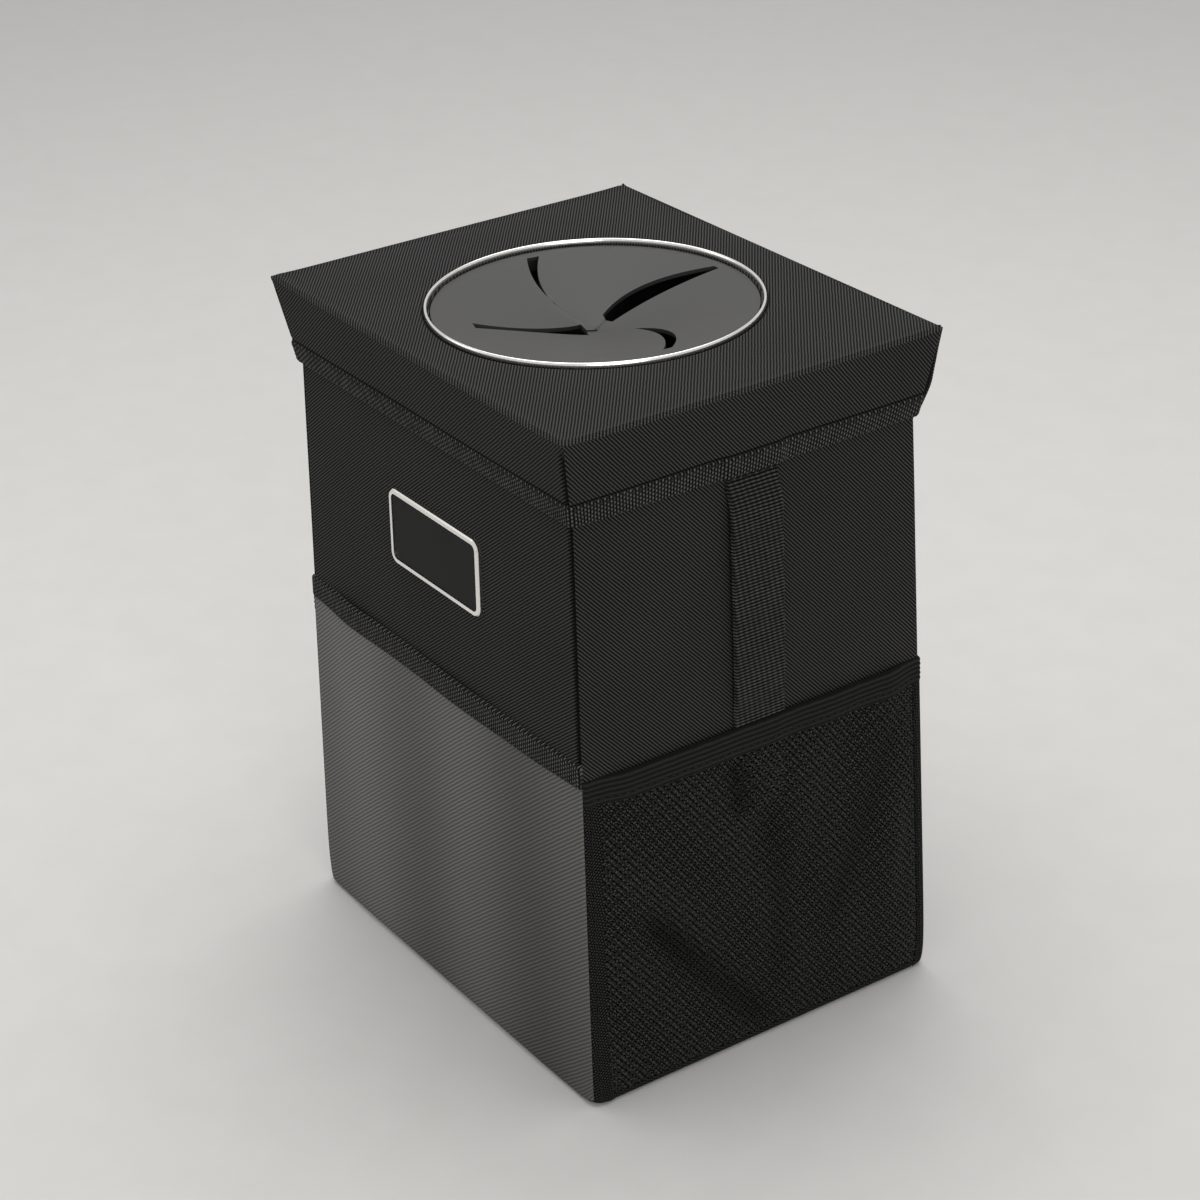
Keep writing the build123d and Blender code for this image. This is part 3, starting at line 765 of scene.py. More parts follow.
def net_pocket(side):
    """Net of one side: diamonds over the pocket's shape, turned into cord."""
    wide, tall = NET_CELL
    half = HALF_DEPTH - NET_EDGE
    columns, levels = int(2 * half / wide), int((ELASTIC_TOP - NET_EDGE - NET_FOOT) / (tall / 2))
    row, column = np.meshgrid(np.arange(levels), np.arange(columns + 1), indexing="ij")
    z = NET_FOOT + row * tall / 2
    narrow = (HALF_DEPTH + wall_in(z) - 1.1 * NET_EDGE) / half
    u = np.clip((column + 0.5 * (row % 2) - 0.25) * wide - half, -half, half) * np.minimum(narrow, 1)
    points = on_wall(side, u, net_out(side, u, z), z, corner_lift(half - np.abs(u), z))
    row, column = row[1:-1, :-1], column[1:-1, :-1]
    middle, across = column + row % 2, columns + 1
    diamonds = np.stack([(row - 1) * across + middle, row * across + column + 1,
                         (row + 1) * across + middle, row * across + column], -1).reshape(-1, 4)
    net = new_piece(f"{side}_net", points.reshape(-1, 3).tolist(), [], diamonds.tolist())
    mark_weave(net, ribs_uv(u, z, 10).reshape(-1, 2)[diamonds])
    # the cord is darkened along the creases: painted shade
    mark_points(net, "shade", np.clip(0.3 * net_creases(side, u, z), 0, 0.7))
    run_tree(net, NET, Opening=NET_OPENING, Finish=NET_CORD)
    thicken(net, NET_CORD_DEPTH)
    net.data.shade_smooth()
    dress(net, NET_CORD, "bin", "black_mesh", f"{side}_mesh_pocket")


# %% Hems and elastic mouth
HEM_BAND = 5 * MM
HEM_WIDTHS = {"front": HEM_BAND, "rear": 0.45 * HEM_BAND}
FOOT_HEM = 2.6 * MM


def net_hem(side, place, u, z, above, drop, depth):
    """Doubled cloth along one edge of a net."""
    room = HALF_DEPTH + wall_in(z) + POCKET_SKIN - np.abs(u)
    points = on_wall(side, u, net_out(side, u, z) + above - drop - heel_in(z), z, corner_lift(room, z))
    cloth_piece(f"{side}_net_hem_{place}", points, ribs_uv(u, z, 45), depth, HEM_CLOTH, "bin", "black_mesh")


def upright_hem(side, place):
    """Hem that turns round the corner at the front or the rear end of a side."""
    z = np.linspace(NET_FOOT, ELASTIC_TOP - 4 * MM, 60)[:, None]
    half = HALF_DEPTH + wall_in(z) + POCKET_SKIN
    turned, drop = (rows[:, -ARC_STEPS:] for rows in cross_row(half, corner_at(z)))
    flat = turned[:, :1] - HEM_WIDTHS[place] * np.linspace(1, 0, 14)[:-1]
    u, drop = np.concatenate([flat, turned], 1), np.concatenate([0 * flat, drop], 1)
    if (place == "front") == (side == "right"):
        u, drop = -u[:, ::-1], drop[:, ::-1]
    roll = 0.4 * MM * ridge(half - np.abs(u), HEM_BAND + 3 * MM, 1.5 * MM, 2)
    net_hem(side, place, u, z, above=0.5 * MM + roll, drop=drop, depth=1.0 * MM)


for side in ("right", "left"):
    net_pocket(side)
    for place in HEM_WIDTHS:
        upright_hem(side, place)
    z = NET_FOOT + np.linspace(0, FOOT_HEM, 8)[:, None]
    u = np.linspace(-1, 1, 110) * (HALF_DEPTH + wall_in(z) + POCKET_SKIN - FOOT_CORNER)
    net_hem(side, "foot", u, z, above=0.35 * MM, drop=0.0, depth=0.8 * MM)
    mouth_band(f"{side}_elastic_mouth", side, ELASTIC_FOOT, ELASTIC_TOP, partial(net_out, side),
               depth=1.9 * MM, sink=1.0 * MM, steps=30, step=1.2 * MM, finish=ELASTIC, slot="elastic",
               node=f"{side}_elastic", lengthwise=True, **ELASTIC_WEAVE)

# %% [markdown]
# ## Webbing loops
# A band of polypropylene webbing runs up each side wall. It is sewn flat below the pocket mouth and under
# the skirt, and stands off the wall between, so that a belt or a hook can pass behind it.

# %% Webbing loops on the sides
STRAP_FOOT, STRAP_HEAD = LOW["right_strap"][2], SKIRT_FOOT + 5 * MM
STRAP_WIDTH = HIGH["right_strap"][1] - LOW["right_strap"][1]
STRAP_DEPTH, STRAP_RIBS = 1.3 * MM, 0.45 * MM
STRAP_STAND = 3.2 * MM


def strap_stand(z):
    """How far the back of the loop stands off the wall."""
    rise = ease((z - STRAP_FOOT - 22 * MM) / (40 * MM))
    fall = ease((STRAP_HEAD - 4 * MM - z) / (16 * MM))
    slack = 0.5 + 0.5 * (z - STRAP_FOOT) / (STRAP_HEAD - STRAP_FOOT)
    sewn = 0.5 * MM * ease((z - STRAP_HEAD + 9 * MM) / (5 * MM))
    return 0.1 * MM + STRAP_STAND * slack * np.minimum(rise, fall) - sewn


across, swell = band_loop(STRAP_WIDTH, 44, squareness=60)
z = np.linspace(STRAP_HEAD, STRAP_FOOT, 320)[:, None]
for side in ("right", "left"):
    points = on_wall(side, across, strap_stand(z) + STRAP_DEPTH * swell, z)
    strap = band(f"{side}_webbing_loop", points, z[:, 0], across, swell, WEBBING, height=STRAP_RIBS,
                 **WEBBING_WEAVE)
    dress(strap, WEBBING, "bin", "webbing", f"{side}_strap")

# %% [markdown]
# ## Lid cloth
# The lid's top is one panel of twill with a round hole, sewn to three skirt panels along a ridge. The panel
# is laid out between the hole's circle and the lid's outline, so its rows are rings near the ring and
# straight at the edge.

# %% Lid top
LID_CORNER = 1.6 * MM
EDGE_DROP = 1.1 * MM  # from the lid's top to the seam along its edge
EAR = 0.8 * MM  # how far the corners stand up
SEAM_RIDGE, SEAM_DIP = 0.4 * MM, 0.15 * MM  # along the seam, and just inside it
LID_WAVE, RING_GROOVE = 0.35 * MM, 0.5 * MM
HOLE = RING_RADIUS - 2.2 * MM
NEAR_RING = np.array([0, 1.2, 1.7, 2.1, 2.5, 2.9, 3.4, 4.2]) * MM  # rows at the hole, for the ring's groove


def circle_facing(line, radius):
    """Points of a circle that face the points of an outline."""
    aim = np.arctan2(line[:, 1], line[:, 0])
    return np.stack([radius * np.cos(aim), radius * np.sin(aim), 0 * aim], -1)


rim_line = around(LID_OUT, LID_CORNER, 2.2 * MM)
hole_line = circle_facing(rim_line, HOLE)
near = NEAR_RING[:, None] / np.linalg.norm(rim_line - hole_line, axis=1)
share = np.concatenate([near, near[-1] + (1 - near[-1]) * np.linspace(0, 1, 24)[1:, None] ** 0.85])
points = hole_line + (rim_line - hole_line) * share[..., None]
x, y = points[..., 0], points[..., 1]
side_gap, end_gap = LID_HALF[0] - np.abs(x), LID_HALF[1] - np.abs(y)
gap = np.minimum(side_gap, LID_HALF[1] + y)
wave = LID_WAVE * soft_noise(x, y, 55 * MM, 41) * ease(share * 5) * ease(gap / (12 * MM))
seam = SEAM_RIDGE * ridge(gap, 1.8 * MM, 1.3 * MM, 2) - SEAM_DIP * ridge(gap, 5 * MM, 1.6 * MM, 2)
ear = EAR * np.exp(-(side_gap + end_gap) / (7 * MM))
# the cloth is pressed into a groove round the ring and darkened there: painted shade
pressed = ridge(np.hypot(x, y), RING_RADIUS, 0.8 * MM)
fall = EDGE_DROP * (1 - ease(gap / (1.4 * MM)))
points[..., 2] = LID_TOP + seam + wave + ear - fall - RING_GROOVE * pressed
lid_top = cloth_piece("lid_top_cloth", points, ribs_uv(x, y, -37), CLOTH, BLACK_TWILL, "lid", "black_twill",
                      "lid_cover", wrap=True, shade=GROOVE_PAINTED_SHADE * pressed, flip=True)

# %% Skirt panels
SKIRT_CORNER = 2.6 * MM
SKIRT_TOP = LID_TOP - EDGE_DROP
STRAP_BUMP = 1.3 * MM  # the webbing's end lifts the skirt's hem this far
SKIRT_WAVE, SKIRT_GROOVE, HEM_GROOVE = 0.4 * MM, 1.2 * MM, 0.4 * MM
hem_rows = SKIRT_TAPE_TOP + np.linspace(0, 1.0, 6) * MM
skirt_rows = np.union1d(np.linspace(SKIRT_FOOT + 0.6 * MM, SKIRT_TOP, 60), hem_rows)[:, None]


def over_strap(points):
    """Lift the skirt's hem where the end of a webbing loop lies under it."""
    near = ease((STRAP_WIDTH / 2 + 4 * MM - np.abs(points[..., 1])) / (5 * MM))
    hem = ease((SKIRT_TAPE_TOP + 9 * MM - points[..., 2]) / (12 * MM))
    outward = np.where(np.abs(points[..., 0]) > 0.9 * HALF_WIDTH, np.sign(points[..., 0]), 0)
    points[..., 0] += outward * STRAP_BUMP * near * hem
    return points


def skirt_panel(side, seed):
    """One skirt panel from its hem to the ridge of the lid."""
    half, face = half_sizes(side)
    z = skirt_rows
    up = (z - SKIRT_FOOT) / (SKIRT_TOP - SKIRT_FOOT)
    shift = flare(z) + (LID_OUT - flare(SKIRT_TOP)) * up
    corner = SKIRT_CORNER + (LID_CORNER - SKIRT_CORNER) * up
    u, drop = cross_row(half + shift, corner)
    inset = half + shift - corner - np.abs(u)
    soft = SKIRT_WAVE * soft_noise(u, z, 45 * MM, seed) * ease(inset / (25 * MM))
    soft = soft * ease(3 * up) * ease(4 - 4 * up)
    # grooves above the hem tape and at the front panel's corners are darkened: painted shade
    hem = ridge(z, SKIRT_TAPE_TOP + 0.4 * MM, 0.4 * MM)
    groove = ridge(inset, -0.4 * MM, (0.7 + 1.0 * up) * MM) * ease(5 - 5 * up) * (side == "front")
    ear = EAR * np.exp(-np.abs(half + shift - np.abs(u)) / (5 * MM)) * up ** 3
    out = face + shift - drop + soft - HEM_GROOVE * hem - SKIRT_GROOVE * groove
    piece = cloth_piece(f"{side}_skirt_cloth", over_strap(on_side(side, u, out, z + ear)),
                        ribs_uv(u, z, RIB_ANGLE[side]), CLOTH, BLACK_TWILL, "lid", "black_twill",
                        f"skirt_{side}", shade=GROOVE_PAINTED_SHADE * np.maximum(hem, groove))


for number, side in enumerate(("front", "right", "left")):
    skirt_panel(side, 51 + number)

# %% Tape round the skirt's hem
HEM_BACK = CLOTH + 0.2 * MM  # from the skirt's outer face in to the back of the tape
across, swell = band_loop(SKIRT_TAPE_TOP - SKIRT_FOOT, TAPE_STEPS)
heights = (SKIRT_FOOT + SKIRT_TAPE_TOP) / 2 + across
loops = [around(flare(z) - HEM_BACK + (HEM_BACK + 0.5 * TAPE) * rise, SKIRT_CORNER, 0.4 * MM, z,
                ("left", "front", "right")) for z, rise in zip(heights, swell)]
count = min(len(loop) for loop in loops)
points = over_strap(np.stack([resample(loop, count) for loop in loops], 1))
hem = band("skirt_tape", points, run_length(points[:, 0]), across, swell, BINDING_TAPE, **TAPE_WEAVE)
dress(hem, BINDING_TAPE, "lid", "binding_tape", "skirt_binding")

# %% [markdown]
# Under the lid a plain lining covers the board, and at the rear a strip of twill joins the lid to the rear
# wall. The strip is the hinge: it is sewn to the wall and folds along the lid's rear edge, so it stays with
# the bin.

# %% Lid lining
LINING_LOW, LINING_HIGH = LOW["lid_lining"], HIGH["lid_lining"]
LINING_HOLE = HIGH["clamp_ring"][0] - 3 * MM
lining_line = around(LINING_HIGH[0] - HALF_WIDTH, LID_CORNER, 4 * MM)
inner_line = circle_facing(lining_line, LINING_HOLE)
points = inner_line + (lining_line - inner_line) * np.linspace(0, 1, 14)[:, None, None]
points[..., 2] = LINING_LOW[2]
lining = cloth_piece("lid_lining_cloth", points, ribs_uv(points[..., 0], points[..., 1], 0),
                     LINING_HIGH[2] - LINING_LOW[2], LID_LINING, "lid", "lid_lining", "lid_lining", wrap=True)

# %% Hinge strip
FLAP_HALF, FLAP_FOOT, FLAP_TOP = HIGH["hinge_flap"][0], LOW["hinge_flap"][2], HINGE[2]
FLAP_NARROW = FLAP_HALF - 3.5 * MM  # half width below the skirt
FLAP_LIFT = 0.85 * MM  # its outer face off the wall where it is sewn
FLAP_WAVE = 0.25 * MM


def flap_leave(z):
    """Share by which the strip has left the wall at a height."""
    return ease((z - FLAP_FOOT - 6 * MM) / (18 * MM))


z = np.linspace(FLAP_FOOT, FLAP_TOP, 40)[:, None]
room = np.maximum(FLAP_HALF, HALF_WIDTH + flare(z) - CLOTH - 0.4 * MM)
u = np.linspace(-1, 1, 70) * (FLAP_NARROW + (room - FLAP_NARROW) * ease((z - SKIRT_FOOT) / (3 * MM)))
sewn = HALF_DEPTH + wall_in(z) + FLAP_LIFT
pulled = flap_leave(z) * (0.55 + 0.45 * (z - FLAP_FOOT) / (FLAP_TOP - FLAP_FOOT))
wave = FLAP_WAVE * soft_noise(u, z, 40 * MM, 61) * flap_leave(z) * ease((FLAP_TOP - z) / (9 * MM))
points = on_side("rear", u, sewn + (HINGE[1] + CLOTH - sewn) * pulled + wave, z)
flap = cloth_piece("hinge_strip", points, ribs_uv(u, z, 35), CLOTH, BLACK_TWILL, "bin", "black_twill",
                   "hinge_flap")

# %% [markdown]
# ## Ring and slit rubber
# The mouth is a disc of rubber, moulded slightly dished, with four curved slits cut from the middle
# outwards. Its rim is held between a bright ring on top and a clamp ring below. The petals between the
# slits have taken a set from use, so some stand higher than their neighbours and the slits gape. The disc
# is cut by a flat triangulation that keeps the slits' edges, and then dished.

# %% Bright ring
RING_TOP, RING_FOOT = HIGH["trim_ring"][2], LOW["trim_ring"][2]
RING_WIDTH = 1.5 * MM
RING_SEAT, RING_UNDER = LID_TOP + 0.1 * MM, LID_TOP - 0.3 * MM
GROOVE_FLOOR = HIGH["iris_membrane"][2] - 0.9 * MM  # of the narrow groove between the ring and the rubber
NECK_OUT, NECK_IN = RING_RADIUS - 1.2 * MM, RING_RADIUS - 2.2 * MM
section = [(RING_RADIUS - RING_WIDTH / 2 * (1 - math.cos(a)),
            RING_SEAT + (RING_TOP - RING_SEAT) * math.sin(a) ** 0.8) for a in np.linspace(0, math.pi, 15)]
section += [(RING_RADIUS - RING_WIDTH, GROOVE_FLOOR), (NECK_IN, GROOVE_FLOOR), (NECK_IN, RING_FOOT),
            (NECK_OUT, RING_FOOT), (NECK_OUT, RING_UNDER), (RING_RADIUS, RING_UNDER)]
points = np.array([[(r * math.cos(a), r * math.sin(a), z) for r, z in section]
                   for a in np.linspace(0, 2 * math.pi, 145)])
points[-1] = points[0]
ring = grid_piece("bright_ring", points, points[..., :2], wrap=True)
close_seam(ring)
dress(ring, BRIGHT_METAL, "lid", "silver_trim", "trim_ring")

# %% Slits in the rubber
RUBBER_OUT, RUBBER_TOP = HIGH["iris_membrane"][0], HIGH["iris_membrane"][2]
RUBBER_FREE = RUBBER_OUT - 3.2 * MM  # the disc is free to bend inside its clamped rim
CUT = 0.05 * MM
SLITS = {  # direction in degrees; reach, bow and shut as shares; gape in mm at its start, middle and end
    "rear": (92, 0.985, 0.125, 0.13, (6.0, 10.5, 3.0)),
    "left": (171, 0.975, 0.125, 0.50, (0.2, 2.4, 5.2)),
    "front": (252, 0.80, 0.06, 0.10, (11.0, 3.4, 5.2)),
    "right": (357, 0.86, 0.24, 0.27, (0.4, 4.6, 3.8)),
}


def slit_edge(direction, reach, bow, shut, widths, count=60):
    """Outline of one slit in plan: a fine cut that opens into a gape."""
    reach = reach * RUBBER_FREE
    t = np.linspace(0, 1, count)
    middle = 4 * bow * reach * t * (1 - t)
    share = ramp((t - shut) / (1 - shut))
    a, b, c = (w * MM for w in widths)
    gape = a * (1 - share) * (1 - 2 * share) + 4 * b * share * (1 - share) + c * share * (2 * share - 1)
    wide = np.where(t > shut, np.maximum(gape, CUT), CUT) / 2
    near, far = (np.stack([t * reach, middle + way * wide], -1) for way in (-1, 1))
    edge = np.concatenate([near, far[::-1]])
    c, w = math.cos(math.radians(direction)), math.sin(math.radians(direction))
    return edge @ np.array([[c, w], [-w, c]])


def inside(points, loop):
    """Whether each point lies inside a closed outline."""
    x, y = points[:, :1], points[:, 1:]
    ax, ay = loop[:, 0], loop[:, 1]
    bx, by = np.roll(ax, -1), np.roll(ay, -1)
    crosses = ((ay > y) != (by > y)) & (x < ax + (bx - ax) * (y - ay) / np.where(by == ay, 1, by - ay))
    return crosses.sum(1) % 2 == 1


slit_loops = [slit_edge(*slit) for slit in SLITS.values()]
print("slits", {name: round(float(slit[1] * RUBBER_FREE / MM), 1) for name, slit in SLITS.items()}, "mm long")

# %% Flat disc, cut along the slits
CELL = 2.1 * MM  # between the points that fill the disc
CIRCLE_STEPS = 160
turn = 2 * math.pi * np.arange(CIRCLE_STEPS) / CIRCLE_STEPS
circles = [[(radius * math.cos(a), radius * math.sin(a)) for a in turn]
           for radius in (RUBBER_OUT, RUBBER_FREE)]
flat_points, edges = [], []
for loop in circles + slit_loops:
    start, count = len(flat_points), len(loop)
    flat_points += [tuple(p) for p in loop]
    edges += [(start + i, start + (i + 1) % count) for i in range(count)]
steps = np.arange(-RUBBER_FREE, RUBBER_FREE, CELL)
fill = np.array([(x + (k % 2) * 0.5 * CELL, y) for k, y in enumerate(steps) for x in steps])
flat_points += [tuple(p) for p in fill[np.linalg.norm(fill, axis=1) < RUBBER_FREE - 0.8 * MM]]
cut = geometry.delaunay_2d_cdt([Vector(p) for p in flat_points], edges, [], 0, 1e-6)
flat = np.array([tuple(v) for v in cut[0]])
faces = np.array([list(f) for f in cut[2]])
middles = flat[faces].mean(1)
keep = np.linalg.norm(middles, axis=1) < RUBBER_OUT
for loop in slit_loops:
    keep &= ~inside(middles, loop)
faces = faces[keep]
print("rubber disc", len(faces), "flat triangles")

# %% Dished disc with its petals
RUBBER_DEPTH = 1.6 * MM
DISH = RUBBER_TOP - RUBBER_DEPTH - LOW["iris_membrane"][2] + 0.2 * MM
PETAL_LIFT = (0.4, 0.2, -0.3, -0.2)  # millimetres at the middle, petal by petal
radius = np.linalg.norm(flat, axis=1)
angle = np.arctan2(flat[:, 1], flat[:, 0])
reaches = [slit[1] * RUBBER_FREE for slit in SLITS.values()]
bounds = [math.radians(slit[0]) + 4 * slit[2] * ramp(1 - radius / reach)
          for slit, reach in zip(SLITS.values(), reaches)]
rise = np.zeros(len(flat))
for k, lift in enumerate(PETAL_LIFT):
    after = (k + 1) % len(PETAL_LIFT)
    span, turn = (bounds[after] - bounds[k]) % (2 * math.pi), (angle - bounds[k]) % (2 * math.pi)
    rise = np.where(turn < span, lift * MM * ease(1 - radius / min(reaches[k], reaches[after])), rise)
height = RUBBER_TOP - 0.05 * MM - DISH * ramp(1 - radius / RUBBER_FREE) + rise
iris = new_piece("iris_disc", np.column_stack([flat, height]).tolist(), [], faces.tolist())
mesh = bmesh.new()
mesh.from_mesh(iris.data)
bmesh.ops.delete(mesh, geom=[v for v in mesh.verts if not v.link_faces], context="VERTS")
bmesh.ops.recalc_face_normals(mesh, faces=mesh.faces)
if sum(f.normal.z for f in mesh.faces) < 0:
    bmesh.ops.reverse_faces(mesh, faces=mesh.faces)
mesh.to_mesh(iris.data)
iris.data.shade_smooth()
thicken(iris, RUBBER_DEPTH)
dress(iris, GREY_RUBBER, "lid", "grey_rubber", "iris_membrane")

# %% [markdown]
# ## Hook-and-loop strips
# A strip of soft loops on the front wall and a strip of stiff hooks behind the front skirt keep the lid
# down. Both are a woven ground with a dense pile, which a node tree scatters over the ground with a fixed
# seed.

# %% Geometry nodes: pile on a strip
PILE, given, result = new_tree("strip_pile", Density="Float", Height="Float", Width="Float", Seed="Int",
                               Finish="Material")
spots = add_node(PILE, "GeometryNodeDistributePointsOnFaces", {
    "Mesh": given["Geometry"], "Density": given["Density"], "Seed": given["Seed"]})
tuft = add_node(PILE, "GeometryNodeMeshCone", {
    "Vertices": 5, "Radius Top": 0.0, "Radius Bottom": given["Width"], "Depth": given["Height"]})
tufts = add_node(PILE, "GeometryNodeInstanceOnPoints", {
    "Points": spots.outputs["Points"], "Instance": tuft.outputs[0], "Rotation": spots.outputs["Rotation"]})
both = add_node(PILE, "GeometryNodeJoinGeometry", {0: given["Geometry"]})
PILE.links.new(tufts.outputs[0], both.inputs[0])
end_tree(PILE, both.outputs[0], given, result)

# %% Loop strip on the wall, hook strip behind the skirt
PILE_SIZES = {"Density": 1.1e6, "Height": 0.3 * MM, "Width": 0.28 * MM, "Seed": 7}
STRIP_DEPTH = 0.5 * MM
for name, node, body in (("loop_strip", "closure_loop", "bin"), ("hook_strip", "closure_hook", "lid")):
    u = np.linspace(LOW[node][0], HIGH[node][0], 40)
    z = np.linspace(LOW[node][2], HIGH[node][2], 8)[:, None]
    off_wall = wall_in(z) + 0.85 * MM if body == "bin" else flare(z) - CLOTH - 0.55 * MM
    points = on_side("front", u, HALF_DEPTH + off_wall, z)
    strip = grid_piece(name, points, points[..., ::2])
    if body == "lid":
        strip.data.flip_normals()
    run_tree(strip, PILE, Finish=HOOK_PILE, **PILE_SIZES)
    dress(thicken(strip, STRIP_DEPTH), HOOK_PILE, body, "hook_and_loop", node)

# %% [markdown]
# ## Stitches
# Every seam is sewn with black thread a little smoother than the cloth. A row is a line of points on the
# cloth, and a node tree sets one stitch on it every few millimetres, turned along the line and pressed onto
# the surface.

# %% Geometry nodes: stitches along a line
STITCH, given, result = new_tree("stitch_row", Spacing="Float", Length="Float", Width="Float",
                                 Finish="Material")
line = add_node(STITCH, "GeometryNodeMeshToCurve", {0: given["Geometry"]})
spots = add_node(STITCH, "GeometryNodeCurveToPoints", {
    "Curve": line.outputs[0], "Length": given["Spacing"]}, mode="LENGTH")
outward = add_node(STITCH, named, {"Name": "outward"}, data_type="FLOAT_VECTOR")
along = add_node(STITCH, "FunctionNodeAlignRotationToVector", {"Vector": spots.outputs["Tangent"]}, axis="X")
facing = add_node(STITCH, "FunctionNodeAlignRotationToVector", {
    "Rotation": along.outputs[0], "Vector": outward.outputs[0]}, axis="Z", pivot_axis="X")
bead = add_node(STITCH, "GeometryNodeMeshIcoSphere", {"Radius": 0.5, "Subdivisions": 2})
size = add_node(STITCH, "ShaderNodeCombineXYZ", {0: given["Length"], 1: given["Width"], 2: given["Width"]})
shape = add_node(STITCH, "GeometryNodeTransform", {"Geometry": bead.outputs[0], "Scale": size.outputs[0]})
laid = add_node(STITCH, "GeometryNodeInstanceOnPoints", {
    "Points": spots.outputs["Points"], "Instance": shape.outputs[0], "Rotation": facing.outputs[0]})
end_tree(STITCH, laid.outputs[0], given, result)

# %% Helpers for sewing
STITCH_SIZES = {"Spacing": 3.3 * MM, "Length": 2.5 * MM, "Width": 0.6 * MM}


def sew(name, rows, body, slot):
    """One piece with all the stitches of a body, from rows of points on its sides."""
    verts, edges, ways = [], [], []
    for side, points in rows:
        start = len(verts)
        verts += points.tolist()
        ways += [(*AXES[side][1], 0)] * len(points)
        edges += [(start + i, start + i + 1) for i in range(len(points) - 1)]
    piece = new_piece(name, verts, edges, [])
    mark_points(piece, "outward", ways)
    run_tree(piece, STITCH, Finish=THREAD, **STITCH_SIZES)
    piece.data.shade_smooth()
    dress(piece, THREAD, body, slot)


# %% Sew the bin
HEM_ABOVE, ELASTIC_ABOVE = 0.75 * MM, 1.1 * MM  # the thread above the cloth that it is sewn to
STRAP_ABOVE, FLAP_ABOVE = 0.3 * MM, 0.9 * MM
z = POCKET_TOP + 1.7 * MM
u = np.linspace(-0.96, 0.96, 90) * (HALF_WIDTH + wall_in(POCKET_TOP))
rows = [("front", on_wall("front", u, front_pocket_out(u, z) + HEM_ABOVE, z))]
for side in ("right", "left"):
    z = ELASTIC_FOOT + 3.2 * MM
    u = np.linspace(-0.97, 0.97, 120) * (HALF_DEPTH + wall_in(z) - 2 * MM)
    rows.append((side, on_wall(side, u, net_out(side, u, z) + ELASTIC_ABOVE, z)))
    z = np.linspace(NET_FOOT + 4 * MM, ELASTIC_FOOT, 80)
    for end in (-1, 1):
        u = end * (HALF_DEPTH + wall_in(z) - 0.62 * HEM_BAND)
        rows.append((side, on_wall(side, u, net_out(side, u, z) + HEM_ABOVE, z)))
    u = np.linspace(-0.5, 0.5, 24) * (STRAP_WIDTH - 3 * MM)
    for z in (STRAP_HEAD - 2.5 * MM, STRAP_HEAD - 6 * MM):
        rows.append((side, on_wall(side, u, strap_stand(z) + STRAP_DEPTH + STRAP_ABOVE, z)))
u = np.linspace(-0.98, 0.98, 100) * FLAP_NARROW
for z in (FLAP_FOOT + 3 * MM, FLAP_FOOT + 7 * MM):
    rows.append(("rear", on_wall("rear", u, FLAP_ABOVE + 0.3 * MM * flap_leave(z), z)))
sew("bin_stitches", rows, "bin", "black_twill")

# %% Sew the lid
z = SKIRT_TAPE_TOP - 1.5 * MM
rows = []
for side in ("left", "front", "right"):
    half, face = half_sizes(side)
    u = np.linspace(-1, 1, 80) * (half + flare(z) - SKIRT_CORNER)
    rows.append((side, over_strap(on_side(side, u, face + flare(z) + 0.5 * TAPE + 0.25 * MM, z))))
sew("lid_stitches", rows, "lid", "binding_tape")

# %% [markdown]
# ## Stiff pieces from the frame
# The boards, the clamp ring and the badge are stiff, so the CAD solids are used as they are and only get a
# finish.

# %% Finishes on the CAD pieces
FINISHES = {"badge_frame": BRIGHT_METAL, "badge_insert": BADGE_INLAY, "clamp_ring": CLAMP_PLASTIC}
FINISHES.update({node: BOARD for node in frame["nodes"] if node.endswith("_board")})
for node, finish in FINISHES.items():
    solid = bpy.data.objects[node]
    solid.data.materials.clear()
    solid.data.materials.append(finish)
print("finished as they are:", sorted(FINISHES))

# %% [markdown]
# ## Floor, light and camera
# A plain pale floor and a large soft lamp overhead, as in a small studio. The lamp lights the lid about
# twice as much as the walls. The background is pale to the camera and in shiny or clear pieces, and gives
# the walls a low, even light. The camera's place, turn and lens were fitted to the corners of the bin, so
# that the picture has the photograph's angle.

# %% Floor and lamps
FLOOR_REACH = 6.0
FLOOR_CORNERS = ((-1, -1), (1, -1), (1, 1), (-1, 1))
AIM = Vector((0, 0, 0.15))  # the lamps point at the middle of the bin
floor = new_piece("floor", [(x * FLOOR_REACH, y * FLOOR_REACH, 0) for x, y in FLOOR_CORNERS], [],
                  [(0, 1, 2, 3)])
floor.data.materials.append(grained("pale_floor", 0.58, 0.64, 60.0, 0.6, 0.02))


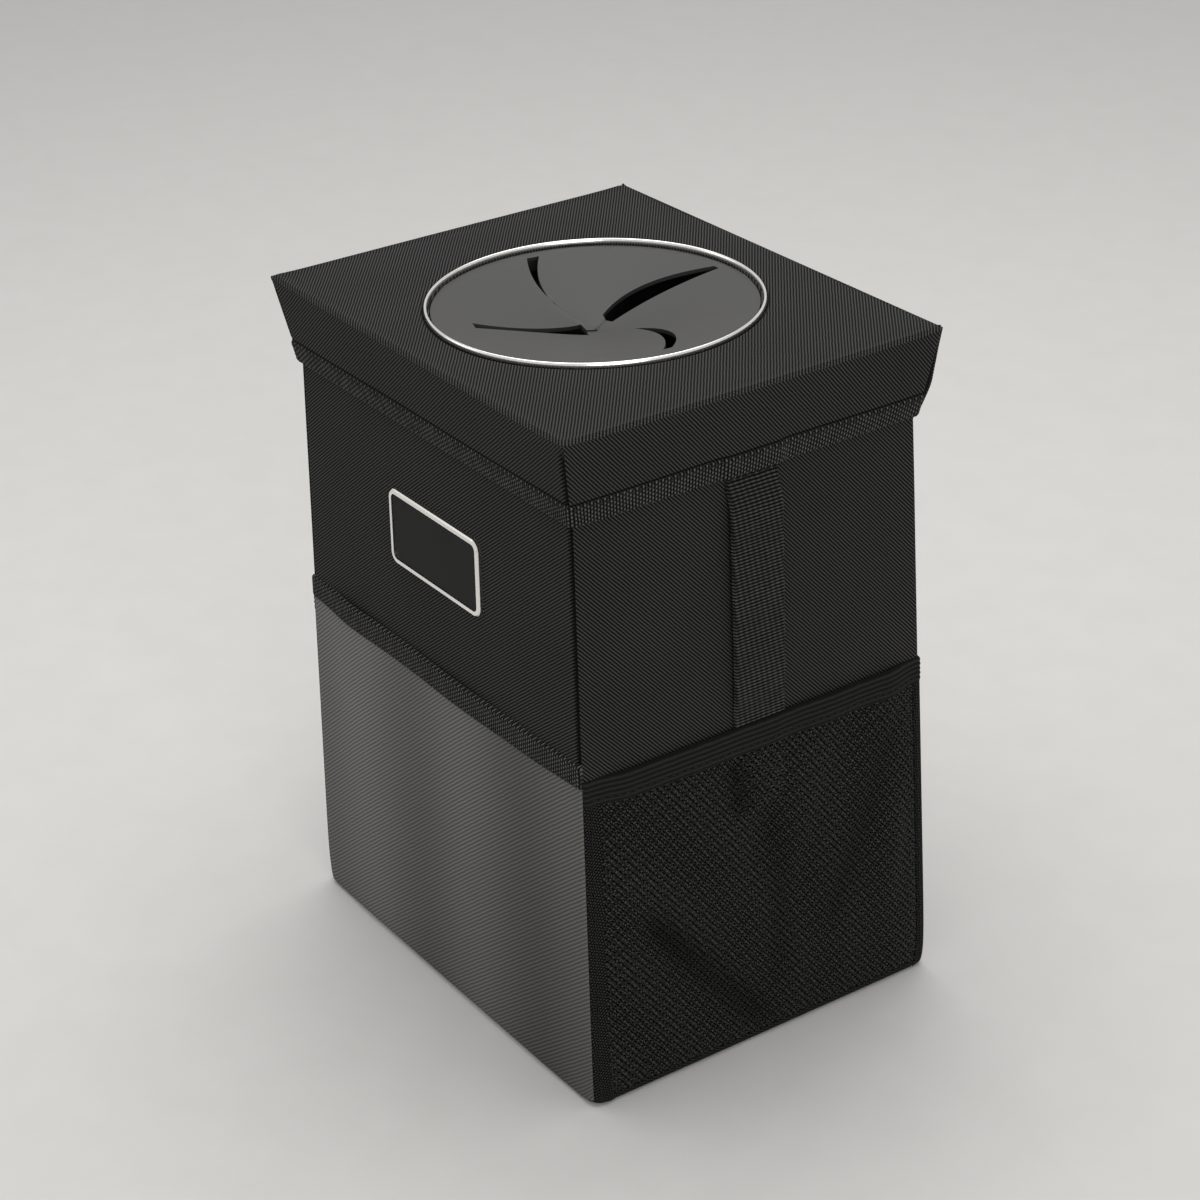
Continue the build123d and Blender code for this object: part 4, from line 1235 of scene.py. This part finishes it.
def soft_lamp(name, place, size, power):
    """A square soft lamp turned towards the bin."""
    lamp = bpy.data.lights.new(name, "AREA")
    lamp.size, lamp.energy = size, power
    thing = bpy.data.objects.new(name, lamp)
    thing.location = place
    thing.rotation_euler = (AIM - Vector(place)).to_track_quat("-Z", "Y").to_euler()
    bpy.context.scene.collection.objects.link(thing)
    print(f"{name}: {power} W")


soft_lamp("overhead", (-0.2, 0.15, 1.35), size=1.2, power=12.0)
soft_lamp("side_fill", (1.9, -0.7, 0.9), size=1.2, power=12.5)
soft_lamp("front_fill", (-0.9, -1.0, 0.75), size=0.7, power=1.2)

# %% Background
EVEN_LIGHT, PALE = (0.55, 0.55, 0.55, 1), (0.7, 0.69, 0.68, 1)  # as a light, and where it is seen
world = bpy.data.worlds.new("studio")
world.use_nodes = True
bpy.context.scene.world = world
tree = world.node_tree
ray = add_node(tree, "ShaderNodeLightPath").outputs
in_pieces = math_node(tree, "MAXIMUM", ray["Is Glossy Ray"], ray["Is Transmission Ray"])
seen = math_node(tree, "MAXIMUM", ray["Is Camera Ray"], in_pieces)
tree.links.new(mix_colour(tree, seen, EVEN_LIGHT, PALE), tree.nodes["Background"].inputs["Color"])
bpy.context.scene.view_settings.view_transform = "Standard"
print("background ready")

# %% Camera at the photograph's viewing angle
IMAGE = 1200  # pixels on a side
FOCAL_PIXELS = 2895.0
CAMERA_PLACE = Vector((855.0, -562.9, 677.3)) * MM
CAMERA_RIGHT = Vector((0.5624, 0.82612, -0.03502))
CAMERA_DOWN = Vector((0.3605, -0.28309, -0.88876))
camera_data = bpy.data.cameras.new("camera")
camera_data.sensor_width = 36.0
camera_data.lens = FOCAL_PIXELS / IMAGE * camera_data.sensor_width
camera_data.clip_start, camera_data.clip_end = 0.01, 50.0
camera = bpy.data.objects.new("camera", camera_data)
right, down = CAMERA_RIGHT.normalized(), CAMERA_DOWN.normalized()
turned = Matrix((right, -down, right.cross(-down))).transposed().to_4x4()
camera.matrix_world = Matrix.Translation(CAMERA_PLACE) @ turned
bpy.context.scene.collection.objects.link(camera)
bpy.context.scene.camera = camera
print("camera lens %.1f mm" % camera_data.lens)
